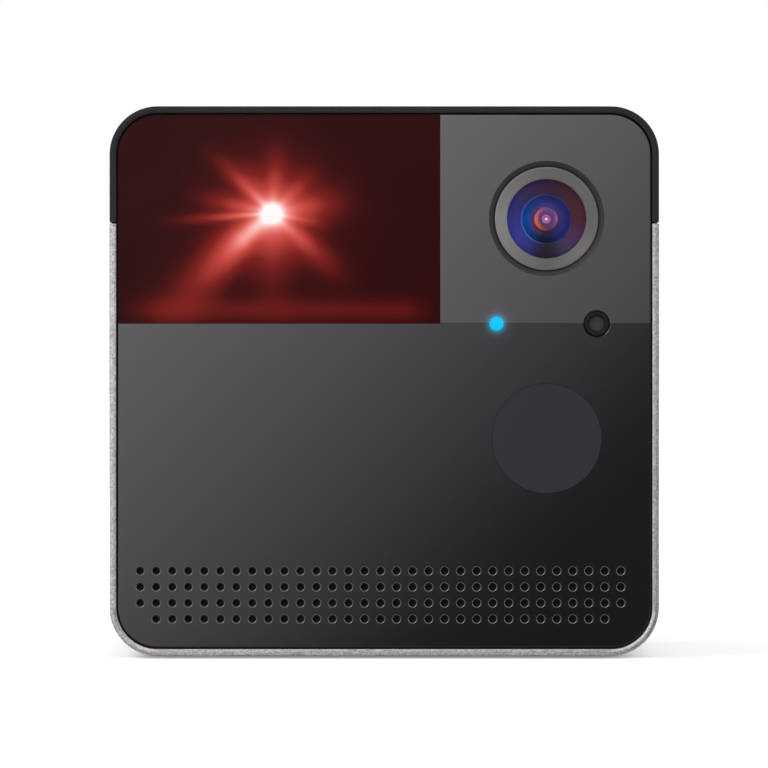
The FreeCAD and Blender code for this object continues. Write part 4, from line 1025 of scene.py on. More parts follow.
# %% Plain finishes
finishes = {
    "shell_aluminium": grained(
        "shell_aluminium", (0.285, 0.28, 0.286), 0.3, colour_drift=2.4, grain_scale=4200.0, bump=0.8,
        bump_depth=0.03 * MM, Metallic=1.0,
    ),
    "cap_plastic": grained("cap_plastic", (0.0095, 0.0085, 0.0105), 0.4, grain_scale=6000.0, bump=0.25,
                           bump_depth=0.01 * MM, Specular_IOR_Level=0.15),
    "moulding_black": grained("moulding_black", (0.018, 0.018, 0.02), 0.55, bump=0.3),
    "infrared_dark": grained("infrared_dark", (0.026, 0.0235, 0.031), 0.2, mark_scale=40.0,
                              Specular_IOR_Level=0.1),
    "lens_black": grained("lens_black", (0.01, 0.01, 0.012), 0.4),
    "lamp_cyan": grained("lamp_cyan", (0.0, 0.45, 0.9), 0.3, Emission_Color=(0.0, 0.5, 1.0, 1),
                         Emission_Strength=1.5),
    "rubber_black": grained("rubber_black", (0.0065, 0.006, 0.0067), 0.78, colour_drift=0.3,
                            grain_scale=2500.0, bump=0.5, Specular_IOR_Level=0.15),
    "steel": grained("steel", (0.55, 0.54, 0.52), 0.3, mark_scale=200.0, bump=0.1, Metallic=1.0),
    "screw_black": grained("screw_black", (0.03, 0.03, 0.032), 0.32, bump=0.2, Metallic=0.9),
    "brass": grained("brass", (0.72, 0.5, 0.2), 0.28, mark_scale=300.0, bump=0.15, Metallic=1.0),
    "board_green": grained("board_green", (0.01, 0.07, 0.03), 0.42, grain_scale=1500.0, bump=0.2),
    "chip_black": grained("chip_black", (0.02, 0.02, 0.022), 0.5, bump=0.3),
    "fin_aluminium": grained("fin_aluminium", (0.5, 0.5, 0.51), 0.35, bump=0.2, Metallic=1.0),
    "gear_white": grained("gear_white", (0.62, 0.60, 0.55), 0.45, bump=0.1),
    "cone_black": grained("cone_black", (0.025, 0.024, 0.024), 0.8, grain_scale=2000.0, bump=0.6),
    "magnet_grey": grained("magnet_grey", (0.2, 0.2, 0.21), 0.4, bump=0.2, Metallic=0.8),
    "contact_gold": grained("contact_gold", (0.9, 0.65, 0.25), 0.25, Metallic=1.0),
}
print("Plain finishes:", len(finishes))

# %% [markdown]
# ## Polished panels with a lit lamp between them
# The lamp's blue spill on the two panels that it sits between is painted light. A group measures the
# distance from the lamp's axis and paints a glow on the panels that dies away within about a millimetre.

# %% The lamp's spill
spill_fall = -4.0
painted_spill_colour = (0.0, 0.28, 0.42)
spill_reach = 1.3 * MM
spill, spill_in, spill_out = new_group(
    "lamp_spill", [("Reach", "NodeSocketFloat", 0.0012)], [("Glow", "NodeSocketColor")]
)
spill_place = add_node(spill, "ShaderNodeTexCoord")
from_lamp = add_node(spill, "ShaderNodeVectorMath", {"operation": "SUBTRACT"},
                     i0=spill_place.outputs["Object"], i1=(lamp.x, front_y, lamp.z))
flat = add_node(spill, "ShaderNodeVectorMath", {"operation": "MULTIPLY"}, i0=from_lamp.outputs[0],
                i1=(1, 0.5, 1))
length = add_node(spill, "ShaderNodeVectorMath", {"operation": "LENGTH"}, i0=flat.outputs[0])
beyond = sum_up(spill, "SUBTRACT", length.outputs["Value"], pipe_radius)
spread = sum_up(spill, "DIVIDE", beyond, spill_in.outputs["Reach"])
fade = sum_up(spill, "EXPONENT", sum_up(spill, "MULTIPLY", spread, spill_fall))
glow = add_node(spill, "ShaderNodeVectorMath", {"operation": "SCALE"}, i0=painted_spill_colour,
                Scale=held(spill, fade))
spill.links.new(glow.outputs[0], spill_out.inputs["Glow"])


# The panels glow with the lamp's painted spill.
def panel_with_painted_spill(name, colour):
    material = grained(name, colour, 0.07, colour_drift=0.06, roughness_drift=0.03, mark_scale=30.0,
                       IOR=1.5, Emission_Strength=1.0)
    tree = material.node_tree
    group = add_node(tree, "ShaderNodeGroup", {"node_tree": spill}, Reach=spill_reach)
    tree.links.new(group.outputs["Glow"], tree.nodes["Principled BSDF"].inputs["Emission Color"])
    return material


finishes["panel_grey"] = panel_with_painted_spill("panel_grey", (0.042, 0.039, 0.044))
finishes["panel_dark"] = panel_with_painted_spill("panel_dark", (0.0105, 0.009, 0.0105))
print("Spill reaches", in_mm([spill_reach]), "mm past the lamp")

# %% [markdown]
# ## The red window and the laser's starburst
# The laser shines at the window from behind, and the tinted plastic shows it as a burst of rays. Each
# ray is a wedge of light: it leaves the middle at its own angle, widens, and fades with distance. A
# group draws one ray, and the material adds up as many as the photograph shows. The sum picks its
# colour from a ramp, so the middle is white, the rays are coral, and their ends sink into deep red.

# %% One ray of light
ray_fall = 1.6
ray_root, ray_spread = 0.35, 2.2
ray_rise = 6.0 * MM


def bell(tree, value, width):
    """1 where the value is 0, and a soft fall to nothing beyond the width."""
    ratio = sum_up(tree, "ABSOLUTE", sum_up(tree, "DIVIDE", value, width))
    return sum_up(tree, "EXPONENT", sum_up(tree, "MULTIPLY", sum_up(tree, "POWER", ratio, 2.0), -1.0))


ray, ray_in, ray_out = new_group(
    "light_ray",
    [
        ("X", "NodeSocketFloat", 0.0), ("Z", "NodeSocketFloat", 0.0), ("Angle", "NodeSocketFloat", 0.0),
        ("Length", "NodeSocketFloat", 0.01), ("Width", "NodeSocketFloat", 0.001),
        ("Strength", "NodeSocketFloat", 1.0),
    ],
    [("Light", "NodeSocketFloat")],
)
cosine = sum_up(ray, "COSINE", ray_in.outputs["Angle"])
sine = sum_up(ray, "SINE", ray_in.outputs["Angle"])
along = sum_up(ray, "MULTIPLY_ADD", ray_in.outputs["Z"], sine,
               sum_up(ray, "MULTIPLY", ray_in.outputs["X"], cosine))
across = sum_up(ray, "SUBTRACT", sum_up(ray, "MULTIPLY", ray_in.outputs["Z"], cosine),
                sum_up(ray, "MULTIPLY", ray_in.outputs["X"], sine))
share = sum_up(ray, "DIVIDE", along, ray_in.outputs["Length"])
kept = held(ray, share)
remains = sum_up(ray, "POWER", sum_up(ray, "SUBTRACT", 1.0, kept), ray_fall)
wide = sum_up(ray, "MULTIPLY", ray_in.outputs["Width"],
              sum_up(ray, "MULTIPLY_ADD", kept, ray_spread, ray_root))
ahead = held(ray, sum_up(ray, "DIVIDE", along, ray_rise))
light = sum_up(ray, "MULTIPLY", sum_up(ray, "MULTIPLY", remains, bell(ray, across, wide)),
               sum_up(ray, "MULTIPLY", ahead, ray_in.outputs["Strength"]))
ray.links.new(light, ray_out.inputs["Light"])
print("Ray group:", len(ray.nodes), "nodes")

# %% [markdown]
# The laser's light in the tinted plastic is painted on the window as a glow. Each ray is placed with its
# own angle, length, width and strength, as read off the photograph, and they are added up.

# %% The rays on the window
window, tree, shader = start_finish(
    "window_red", Roughness=0.12, Specular_IOR_Level=0.03, Emission_Strength=1.0,
)
window_place = add_node(tree, "ShaderNodeTexCoord")
split = add_node(tree, "ShaderNodeSeparateXYZ", Vector=window_place.outputs["Object"])
from_x = sum_up(tree, "SUBTRACT", split.outputs["X"], laser.x)
from_z = sum_up(tree, "SUBTRACT", split.outputs["Z"], laser.z)

# Angle in degrees, length, width and strength of each ray, lengths in millimetres.
rays = [
    (184, 19.0, 0.50, 0.52), (168, 14.5, 0.85, 0.42), (135, 16.0, 0.80, 0.45), (122, 13.0, 0.90, 0.18),
    (86, 14.0, 1.00, 0.26), (45, 11.0, 0.80, 0.32), (10, 15.0, 1.40, 0.42), (-12, 9.5, 0.40, 0.45),
    (-42, 18.0, 1.20, 0.50), (-137, 27.0, 1.90, 0.68), (-152, 15.0, 1.10, 0.25),
    (-90, 18.0, 1.60, 0.22), (-112, 13.0, 1.00, 0.16), (-66, 12.0, 0.90, 0.18),
    (-145, 20.0, 2.60, 0.12),
]
total = 0.0
for angle, length_mm, width_mm, strength in rays:
    one = add_node(tree, "ShaderNodeGroup", {"node_tree": ray}, X=from_x, Z=from_z,
                   Angle=math.radians(angle), Length=length_mm * MM, Width=width_mm * MM,
                   Strength=strength)
    total = sum_up(tree, "ADD", total, one.outputs["Light"])
print("Rays:", len(rays), "- the longest is", max(row[1] for row in rays), "mm")

# %% [markdown]
# Round the laser the light melts together. Four soft discs, each wider and weaker than the last,
# make the hot middle and the haze round it.

# %% The haze round the laser
halos = ((1.4 * MM, 0.72), (3.6 * MM, 0.42), (6.8 * MM, 0.25), (12.0 * MM, 0.02))
distance = sum_up(tree, "SQRT", sum_up(
    tree, "ADD", sum_up(tree, "MULTIPLY", from_x, from_x), sum_up(tree, "MULTIPLY", from_z, from_z)
))
for reach, strength in halos:
    total = sum_up(tree, "ADD", total, sum_up(tree, "MULTIPLY", strength, bell(tree, distance, reach)))
print("The haze reaches", in_mm([halos[-1][0]]), "mm")

# %% [markdown]
# Along the window's lower edge the plastic carries a faint band of light to the seam, which dies
# away before the window's ends.

# %% The band along the lower edge
band_width = 1.9 * MM
band_strength = 0.10
band_right, band_left = 5.0 * MM, 6.0 * MM
band_height = sum_up(tree, "SUBTRACT", split.outputs["Z"], window_low.z + band_width)
from_right = sum_up(tree, "SUBTRACT", window_high.x, split.outputs["X"])
from_left = sum_up(tree, "SUBTRACT", split.outputs["X"], window_low.x)
to_right = sum_up(tree, "DIVIDE", from_right, band_right)
to_left = sum_up(tree, "DIVIDE", from_left, band_left)
band_ends = sum_up(tree, "MULTIPLY", held(tree, to_left), held(tree, to_right))
band = sum_up(tree, "MULTIPLY", bell(tree, band_height, band_width), band_strength)
total = sum_up(tree, "ADD", total, sum_up(tree, "MULTIPLY", band, band_ends))
print("The band is", in_mm([band_width]), "mm wide")

# %% [markdown]
# A ramp turns the sum into colour. Between the rays nothing shines, and the window shows its own
# deep red, which varies a little as moulded plastic does.

# %% The window's colours
burst_colours = add_node(tree, "ShaderNodeValToRGB", Fac=total)
ramp = burst_colours.color_ramp
ramp.elements[0].color = (0, 0, 0, 1)
ramp.elements[1].position = 1.0
ramp.elements[1].color = (1.0, 0.93, 0.92, 1)
for position, colour in ((0.06, (0.035, 0.0015, 0.001)), (0.2, (0.19, 0.012, 0.009)),
                         (0.4, (0.5, 0.055, 0.042)), (0.5, (0.64, 0.10, 0.08)),
                         (0.6, (0.77, 0.18, 0.155)), (0.7, (0.88, 0.30, 0.27))):
    element = ramp.elements.new(position)
    element.color = (*colour, 1)
# These colours are the laser's painted light on the window.
tree.links.new(burst_colours.outputs[0], shader.inputs["Emission Color"])

window_grain = add_node(tree, "ShaderNodeTexNoise", Vector=window_place.outputs["Object"], Scale=90.0,
                        Detail=3.0)
window_tint = add_node(tree, "ShaderNodeValToRGB", Fac=window_grain.outputs["Fac"])
window_tint.color_ramp.elements[0].color = (0.017, 0.0010, 0.0012, 1)
window_tint.color_ramp.elements[1].color = (0.025, 0.0018, 0.0020, 1)
tree.links.new(window_tint.outputs[0], shader.inputs["Base Color"])
finishes["window_red"] = window
print("The window's finish has", len(tree.nodes), "nodes")

# %% [markdown]
# ## Coated glass with painted reflections
# A camera's eye shows blue on one side, purple above and wine red on the other, in the reflections of
# its coated surfaces. Here these reflections are painted: the colours come from the direction round the
# eye's axis and the distance from it. One group measures both. The bowl has one ring of colour, and the
# inner lens has several, one inside the other: blue glass with a pale rim, a purple zone, the edge of
# the aperture with an orange side and a pink side, and a spark in the middle. The pale rim, the coloured
# edge and the spark are painted highlights.

# %% Place in the eye
eye_place, eye_in, eye_out = new_group(
    "place_in_eye", [("Unit", "NodeSocketFloat", MM)],
    [("Turn", "NodeSocketFloat"), ("Distance", "NodeSocketFloat")],
)
eye_coordinates = add_node(eye_place, "ShaderNodeTexCoord")
from_eye = add_node(eye_place, "ShaderNodeVectorMath", {"operation": "SUBTRACT"},
                    i0=eye_coordinates.outputs["Object"], i1=tuple(eye))
flat_eye = add_node(eye_place, "ShaderNodeVectorMath", {"operation": "MULTIPLY"},
                    i0=from_eye.outputs[0], i1=(1, 0, 1))
eye_split = add_node(eye_place, "ShaderNodeSeparateXYZ", Vector=flat_eye.outputs[0])
eye_turn = sum_up(eye_place, "ARCTAN2", eye_split.outputs["Z"], eye_split.outputs["X"])
eye_reach = add_node(eye_place, "ShaderNodeVectorMath", {"operation": "LENGTH"},
                     i0=flat_eye.outputs[0])
eye_place.links.new(sum_up(eye_place, "MULTIPLY_ADD", eye_turn, 0.5 / math.pi, 0.5),
                    eye_out.inputs["Turn"])
eye_place.links.new(sum_up(eye_place, "DIVIDE", eye_reach.outputs["Value"], eye_in.outputs["Unit"]),
                    eye_out.inputs["Distance"])
print("Group for the place in the eye:", len(eye_place.nodes), "nodes")

# %% [markdown]
# Two helpers lay the colours: one round the axis, with a ramp that starts and ends on the same
# colour, and one that changes from an inner colour to an outer one at a radius.

# %% Colours round the eye and across it
def fill_ramp(node, stops):
    elements = node.color_ramp.elements
    while len(elements) > 1:
        elements.remove(elements[-1])
    elements[0].position = stops[0][0]
    elements[0].color = (*stops[0][1], 1)
    for position, colour in stops[1:]:
        elements.new(position).color = (*colour, 1)


def colour_round(tree, turn, stops):
    """Colours round the axis: 0 is left, then bottom, right, top and left again."""
    node = add_node(tree, "ShaderNodeValToRGB", Fac=turn)
    fill_ramp(node, stops)
    return node.outputs[0]


def beyond_radius(tree, distance, radius, soft, inside, outside):
    """Inside colour up to the radius, and the outside colour beyond it."""
    step = add_node(tree, "ShaderNodeMapRange", {"interpolation_type": "SMOOTHSTEP"}, Value=distance,
                    From_Min=radius - soft, From_Max=radius + soft)
    mix = add_node(tree, "ShaderNodeMix", {"data_type": "RGBA"})
    for socket, value in ((0, step.outputs[0]), (6, inside), (7, outside)):
        if isinstance(value, bpy.types.NodeSocket):
            tree.links.new(value, mix.inputs[socket])
        else:
            mix.inputs[socket].default_value = (*value, 1)
    return mix.outputs[2]


print("A coating's colours are laid by turn and by radius")

# %% [markdown]
# The coatings' reflections are painted. The same colour is a coated surface's base and a faint painted
# glow, so it shows wherever the lamps stand, and the gloss over it is weak.

# %% Coated finishes
# The coatings' colours are painted reflections, and their glow is painted light.
def coated(name, colour_of, glow, gloss_level=0.05):
    material, tree, shader = start_finish(name, Roughness=0.3, Specular_IOR_Level=gloss_level,
                                          Emission_Strength=glow)
    spot = add_node(tree, "ShaderNodeGroup", {"node_tree": eye_place}, Unit=MM)
    colour = colour_of(tree, spot.outputs["Turn"], spot.outputs["Distance"])
    tree.links.new(colour, shader.inputs["Base Color"])
    tree.links.new(colour, shader.inputs["Emission Color"])
    return material


print("Radii in the coatings are given in units of", MM, "m")

# %% [markdown]
# The bowl has one ring of painted reflection colours. The inner lens is built from its middle outwards:
# each line wraps the colour so far in the next ring, at the radius where the photograph changes.

# %% Bowl and inner lens
def bowl_painted_reflection_colours(tree, turn, distance):
    return colour_round(tree, turn, [
        (0.0, (0.020, 0.021, 0.150)), (0.10, (0.019, 0.024, 0.165)), (0.17, (0.014, 0.014, 0.09)),
        (0.22, (0.008, 0.007, 0.012)), (0.27, (0.008, 0.006, 0.008)), (0.33, (0.020, 0.011, 0.045)),
        (0.42, (0.034, 0.012, 0.04)), (0.52, (0.043, 0.010, 0.017)), (0.62, (0.040, 0.010, 0.016)),
        (0.72, (0.026, 0.010, 0.028)), (0.86, (0.022, 0.012, 0.055)), (1.0, (0.020, 0.021, 0.150)),
    ])


def lens_painted_reflection_colours(tree, turn, distance):
    blue = colour_round(tree, turn, [
        (0.0, (0.001, 0.040, 0.20)), (0.13, (0.003, 0.022, 0.11)), (0.22, (0.004, 0.005, 0.02)),
        (0.28, (0.005, 0.006, 0.025)), (0.38, (0.009, 0.014, 0.11)), (0.55, (0.010, 0.015, 0.09)),
        (0.75, (0.009, 0.014, 0.09)), (0.88, (0.005, 0.022, 0.12)), (1.0, (0.001, 0.040, 0.20)),
    ])
    rim = colour_round(tree, turn, [
        (0.0, (0.07, 0.10, 0.33)), (0.12, (0.09, 0.14, 0.36)), (0.25, (0.02, 0.028, 0.075)),
        (0.5, (0.035, 0.035, 0.16)), (0.75, (0.04, 0.036, 0.10)), (1.0, (0.07, 0.10, 0.33)),
    ])
    purple = colour_round(tree, turn, [
        (0.0, (0.035, 0.018, 0.08)), (0.14, (0.055, 0.012, 0.035)), (0.25, (0.012, 0.007, 0.02)),
        (0.4, (0.018, 0.012, 0.07)), (0.5, (0.026, 0.013, 0.085)), (0.75, (0.036, 0.020, 0.12)),
        (1.0, (0.035, 0.018, 0.08)),
    ])
    edge = colour_round(tree, turn, [
        (0.0, (0.50, 0.085, 0.035)), (0.10, (0.42, 0.065, 0.015)), (0.2, (0.16, 0.04, 0.02)),
        (0.3, (0.06, 0.025, 0.03)), (0.42, (0.12, 0.04, 0.07)), (0.5, (0.22, 0.07, 0.16)),
        (0.62, (0.10, 0.04, 0.12)), (0.75, (0.09, 0.038, 0.14)), (0.9, (0.30, 0.07, 0.07)),
        (1.0, (0.50, 0.085, 0.035)),
    ])
    # The spark, the pale rim and the bright edge of the aperture are painted highlights.
    spark = beyond_radius(tree, distance, 0.2, 0.12, (0.95, 0.42, 0.55), (0.10, 0.025, 0.09))
    halo_ring = beyond_radius(tree, distance, 0.42, 0.08, spark, (0.30, 0.11, 0.26))
    pupil = beyond_radius(tree, distance, 0.58, 0.08, halo_ring, (0.055, 0.024, 0.08))
    crescent = beyond_radius(tree, distance, 1.25, 0.35, pupil, edge)
    zone = beyond_radius(tree, distance, 1.66, 0.06, crescent, purple)
    glass_blue = beyond_radius(tree, distance, 2.3, 0.3, zone, blue)
    return beyond_radius(tree, distance, 3.4, 0.06, glass_blue, rim)


finishes["bowl_coating"] = coated("bowl_coating", bowl_painted_reflection_colours, 0.46)
finishes["inner_coating"] = coated("inner_coating", lens_painted_reflection_colours, 0.6)
print("Coatings:", [name for name in finishes if "coating" in name])

# %% [markdown]
# The funnel round the eye is satin grey, with painted light and shade round its axis: brightest on the
# side towards the lamps of the photograph.
# The bevel of its hole gets a finish of its own, painted darker than the panel: painted shade where the
# bevel mirrors dark surroundings. The chamfers of the sound holes get one too: glossier, and painted a
# lighter grey than their panel as a painted highlight, while a lamp catches them as small crescents of
# light.

# %% Funnel and bevel
funnel_finish, funnel_tree, funnel_shader = start_finish(
    "bezel_grey", Roughness=0.42, Metallic=0.2, Specular_IOR_Level=0.3
)
funnel_spot = add_node(funnel_tree, "ShaderNodeGroup", {"node_tree": eye_place}, Unit=MM)
# Painted light and shade round the axis: lighter on the left, darker below and on the right.
satin_painted_light = colour_round(funnel_tree, funnel_spot.outputs["Turn"], [
    (0.0, (0.180, 0.173, 0.170)), (0.12, (0.125, 0.119, 0.116)), (0.25, (0.075, 0.072, 0.070)),
    (0.5, (0.085, 0.080, 0.082)), (0.62, (0.105, 0.098, 0.102)), (0.75, (0.110, 0.104, 0.106)),
    (1.0, (0.180, 0.173, 0.170)),
])
satin_group = add_node(funnel_tree, "ShaderNodeGroup", {"node_tree": grain}, Color=satin_painted_light,
                       Color_Drift=0.1, Roughness=0.42, Roughness_Drift=0.05, Grain_Scale=9000.0,
                       Mark_Scale=200.0)
funnel_tree.links.new(satin_group.outputs["Color"], funnel_shader.inputs["Base Color"])
funnel_tree.links.new(satin_group.outputs["Roughness"], funnel_shader.inputs["Roughness"])
finishes["bezel_grey"] = funnel_finish
# Painted shade: the eye's bevel is darker than its panel.
bevel_painted_shade_finish = grained("bevel_dark", (0.034, 0.031, 0.035), 0.5, Specular_IOR_Level=0.08)
# Painted highlight: the chamfers are a lighter grey than their panel.
rim_painted_highlight_finish = grained("rim_grey", (0.065, 0.06, 0.065), 0.3, Specular_IOR_Level=0.8)
print("Finishes so far:", len(finishes))

# %% [markdown]
# The glass over the eye bends light only a little, so that the coatings behind it stay in place. The
# lamp's pipe is lit from behind, so it glows blue. The meshes are woven: two waves, one across and
# one upright, give the threads their light and their height.

# %% Clear pieces and cloth
finishes["clear_glass"] = grained("clear_glass", (0.97, 0.97, 1.0), 0.02, colour_drift=0.02,
                                  roughness_drift=0.01, Transmission_Weight=1.0, IOR=1.09)
finishes["lamp_clear"] = grained("lamp_clear", (0.0, 0.06, 0.1), 0.25, colour_drift=0.05,
                                 Specular_IOR_Level=0.1, Emission_Color=(0.0, 0.50, 1.0, 1),
                                 Emission_Strength=1.0)


def woven(name, colour, pitch, depth):
    material, tree, shader = start_finish(name, Roughness=0.75)
    place = add_node(tree, "ShaderNodeTexCoord")
    parts = add_node(tree, "ShaderNodeSeparateXYZ", Vector=place.outputs["Object"])
    threads = [
        sum_up(tree, "SINE", sum_up(tree, "MULTIPLY", parts.outputs[axis], 2 * math.pi / pitch))
        for axis in ("X", "Z")
    ]
    weave = sum_up(tree, "ABSOLUTE", sum_up(tree, "MULTIPLY", *threads))
    tint = add_node(tree, "ShaderNodeValToRGB", Fac=weave)
    tint.color_ramp.elements[0].color = (*[0.25 * part for part in colour], 1)
    tint.color_ramp.elements[1].color = (*colour, 1)
    bumped = add_node(tree, "ShaderNodeBump", Strength=0.7, Distance=depth, Height=weave)
    tree.links.new(tint.outputs[0], shader.inputs["Base Color"])
    tree.links.new(bumped.outputs[0], shader.inputs["Normal"])
    return material


port_pitch = 0.22 * MM
finishes["mesh_black"] = woven("mesh_black", (0.018, 0.017, 0.018), 0.4 * MM, 0.05 * MM)
port_mesh = woven("port_mesh", (0.024, 0.022, 0.025), port_pitch, 0.03 * MM)
print("Threads per millimetre in the port's mesh:", round(MM / port_pitch, 1))

# %% [markdown]
# ## Dressing the measured pieces
# Each measured piece already carries the name of its finish. The loop swaps in the material of that
# name, so the boards, gears, motors and screws inside are dressed as well as the shell.

# %% Dress the measured pieces
for node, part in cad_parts.items():
    for seat in part.material_slots:
        plain_name = seat.material.name.split(".")[0] if seat.material else ""
        for label, finish in finishes.items():
            if plain_name == label or plain_name.startswith(label):
                seat.material = finish
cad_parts["microphone_mesh"].material_slots[0].material = port_mesh
print("Dressed:", len(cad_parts), "measured pieces")

# %% [markdown]
# Each new piece gets its finish, hides the measured pieces it stands for, and rides on the body that
# carries it. The reset key rides on its own body, so it goes in when the key is pressed.

# %% Seat the new pieces
dressing = [
    (aluminium_wrap, "shell_aluminium", "shell_aluminium", "housing", ["body_shell"]),
    (plastic_roof, "cap_plastic", "cap_plastic", "housing", ["top_cap"]),
    (lower_panel, "panel_dark", "panel_dark", "housing", ["grille_panel"]),
    (eye_panel, "panel_grey", "panel_grey", "housing", ["camera_panel"]),
    (red_window, "window_red", "window_red", "housing", ["laser_window"]),
    (night_disc, "infrared_dark", "infrared_dark", "housing", ["infrared_window"]),
    (funnel, "bezel_grey", "bezel_grey", "housing", ["lens_bezel"]),
    (glass_dome, "clear_glass", "clear_glass", "housing", ["lens_glass"]),
    (light_pipe, "lamp_clear", "lamp_clear", "housing", ["lamp_light_pipe"]),
    (sleeve, "rubber_black", "rubber_black", "housing", ["microphone_boot"]),
    (back_plate, "cap_plastic", "cap_plastic", "housing", ["rear_cover"]),
    (back_screws, "screw_black", "screw_black", "housing", ["rear_cover_screws"]),
    (reset_key, "cap_plastic", "cap_plastic", "reset_key", ["reset_button"]),
    (socket_shell, "steel", "steel", "housing", ["power_socket"]),
    (tongue, "chip_black", "chip_black", "housing", []),
    (contacts, "contact_gold", "brass", "housing", []),
    (foot, "rubber_black", "rubber_black", "housing", ["foot_pad"]),
    (insert, "brass", "brass", "housing", ["tripod_insert"]),
    (thread, "brass", "brass", "housing", []),
    (bowl, "bowl_coating", "lens_black", "housing", ["lens_barrel"]),
    (inner_lens, "inner_coating", "clear_glass", "housing", ["lens_inner_element"]),
]
for piece, finish, slot, body, nodes in dressing:
    piece.data.materials.clear()
    piece.data.materials.append(finishes[finish])
    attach(piece, body)
    if nodes:
        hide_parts(*nodes)
print("Seated:", len(dressing), "new pieces")

# %% [markdown]
# Two panels have a second finish on some of their faces: the chamfers of the sound holes, and the
# wide bevel round the eye. Both are found by place and by slant, as a chamfer faces neither
# straight ahead nor straight to the side.

# %% Chamfers and the eye's bevel
slant_least, slant_most = 0.1, 0.95
side_margin = 2 * MM
bevel_margin = 0.1 * MM
grille_floor = max(grille_low.z + panel_break, lowest_row - hole_pitch / 2)
grille_top = lowest_row + hole_rows * hole_pitch


def on_chamfer(face):
    middle = face.center
    from_side = min(middle.x - grille_low.x, grille_high.x - middle.x)
    slanted = slant_least < -face.normal.y < slant_most
    return slanted and grille_floor < middle.z < grille_top and from_side > side_margin


def on_bevel(face):
    reach = math.hypot(face.center.x - eye.x, face.center.z - eye.z)
    in_ring = eye_hole - bevel_margin < reach < eye_hole + eye_bevel
    return in_ring and abs(face.normal.y) < slant_most


for piece, finish, wanted in (
    (lower_panel, rim_painted_highlight_finish, on_chamfer), (eye_panel, bevel_painted_shade_finish, on_bevel)
):
    piece.data.materials.append(finish)
    chosen = [face for face in piece.data.polygons if wanted(face)]
    for face in chosen:
        face.material_index = 1
    print(piece.name, "has its second finish on", len(chosen), "faces")

# %% [markdown]
# ## Floor, background and light
# The photograph has no horizon: floor and background are one white. To the camera, the floor's colour is
# lifted above its real one, and more so far away, where the lamps don't reach. Just in front of the
# object it is lifted further, which paints light over the shadow there. Only the shadow round the object
# darkens it. Other rays see its plain colour.

# %% The floor's colour
floor_drop = 0.02 * MM
plain_grey = (0.8, 0.8, 0.8, 1)
near_white = (1.0, 0.996, 1.0)
far_start, far_end, far_most = 0.12, 1.2, 1.9
front_most, front_least = 1.35, 1.02


def bare_finish(name):
    material = bpy.data.materials.new(name)
    material.use_nodes = True
    material.node_tree.nodes.clear()
    return material, material.node_tree


start_fresh()
bpy.ops.mesh.primitive_plane_add(size=60, location=(0, 0, -floor_drop))
floor = call_it("studio_floor")
floor_finish, floor_tree = bare_finish("studio_floor")
ray_kind = add_node(floor_tree, "ShaderNodeLightPath")
floor_shade = add_node(floor_tree, "ShaderNodeMix", {"data_type": "RGBA"})
floor_tree.links.new(ray_kind.outputs["Is Camera Ray"], floor_shade.inputs[0])
floor_shade.inputs[6].default_value = plain_grey
floor_place = add_node(floor_tree, "ShaderNodeTexCoord")
floor_far = add_node(floor_tree, "ShaderNodeVectorMath", {"operation": "LENGTH"},
                     i0=floor_place.outputs["Object"])
floor_split = add_node(floor_tree, "ShaderNodeSeparateXYZ", Vector=floor_place.outputs["Object"])
far_lift = add_node(floor_tree, "ShaderNodeMapRange", Value=floor_far.outputs["Value"],
                    From_Min=far_start, From_Max=far_end, To_Min=1.0, To_Max=far_most)
# In front of the object the lift is stronger: painted light that weakens the shadow there.
front_painted_lift = add_node(floor_tree, "ShaderNodeMapRange", Value=floor_split.outputs["Y"],
                      From_Min=cad_low.y - 12 * MM, From_Max=cad_low.y + 10 * MM,
                      To_Min=front_most, To_Max=front_least)
floor_lift = sum_up(floor_tree, "MULTIPLY", far_lift.outputs[0], front_painted_lift.outputs[0])
lifted = add_node(floor_tree, "ShaderNodeVectorMath", {"operation": "SCALE"}, i0=near_white,
                  Scale=floor_lift)
floor_tree.links.new(lifted.outputs[0], floor_shade.inputs[7])
floor_diffuse = add_node(floor_tree, "ShaderNodeBsdfDiffuse", Color=floor_shade.outputs[2])
print("Far away, the floor's colour is lifted", far_most, "times")

# %% [markdown]
# In the photograph the narrow gap under the front edge isn't black, because light comes in below
# the object. A weak glow, seen by the camera only, stands for it. Gloss passes through the floor in
# front of the object, so that the front mirrors only the card behind the camera.

# %% The gap under the front, and what gloss sees
gap_depth = add_node(floor_tree, "ShaderNodeMapRange", Value=floor_split.outputs["Y"],
                     From_Min=cad_low.y - 4 * MM, From_Max=cad_low.y + 14 * MM)
gap_light = add_node(floor_tree, "ShaderNodeValToRGB", Fac=gap_depth.outputs[0])
gap_stops = ((0.0, 0.0), (0.33, 0.28), (0.48, 0.4), (0.68, 0.0), (1.0, 0.0))
fill_ramp(gap_light, [(place, (light, light, light)) for place, light in gap_stops])
gap_sides = add_node(floor_tree, "ShaderNodeMapRange",
                     Value=sum_up(floor_tree, "ABSOLUTE", floor_split.outputs["X"]),
                     From_Min=36 * MM, From_Max=40 * MM, To_Min=1.0, To_Max=0.0)
gap_strength = sum_up(floor_tree, "MULTIPLY", gap_sides.outputs[0],
                      ray_kind.outputs["Is Camera Ray"])
gap_glow = add_node(floor_tree, "ShaderNodeEmission", Color=gap_light.outputs[0],
                    Strength=gap_strength)
floor_seen = add_node(floor_tree, "ShaderNodeAddShader", i0=floor_diffuse.outputs[0],
                      i1=gap_glow.outputs[0])
floor_clear = add_node(floor_tree, "ShaderNodeBsdfTransparent")
in_front = sum_up(floor_tree, "LESS_THAN", floor_split.outputs["Y"], cad_low.y - 5 * MM)
passed = sum_up(floor_tree, "MULTIPLY", in_front, ray_kind.outputs["Is Glossy Ray"])
floor_surface = add_node(floor_tree, "ShaderNodeMixShader", i0=passed, i1=floor_seen.outputs[0],
                         i2=floor_clear.outputs[0])
add_node(floor_tree, "ShaderNodeOutputMaterial", Surface=floor_surface.outputs[0])
floor.data.materials.append(floor_finish)
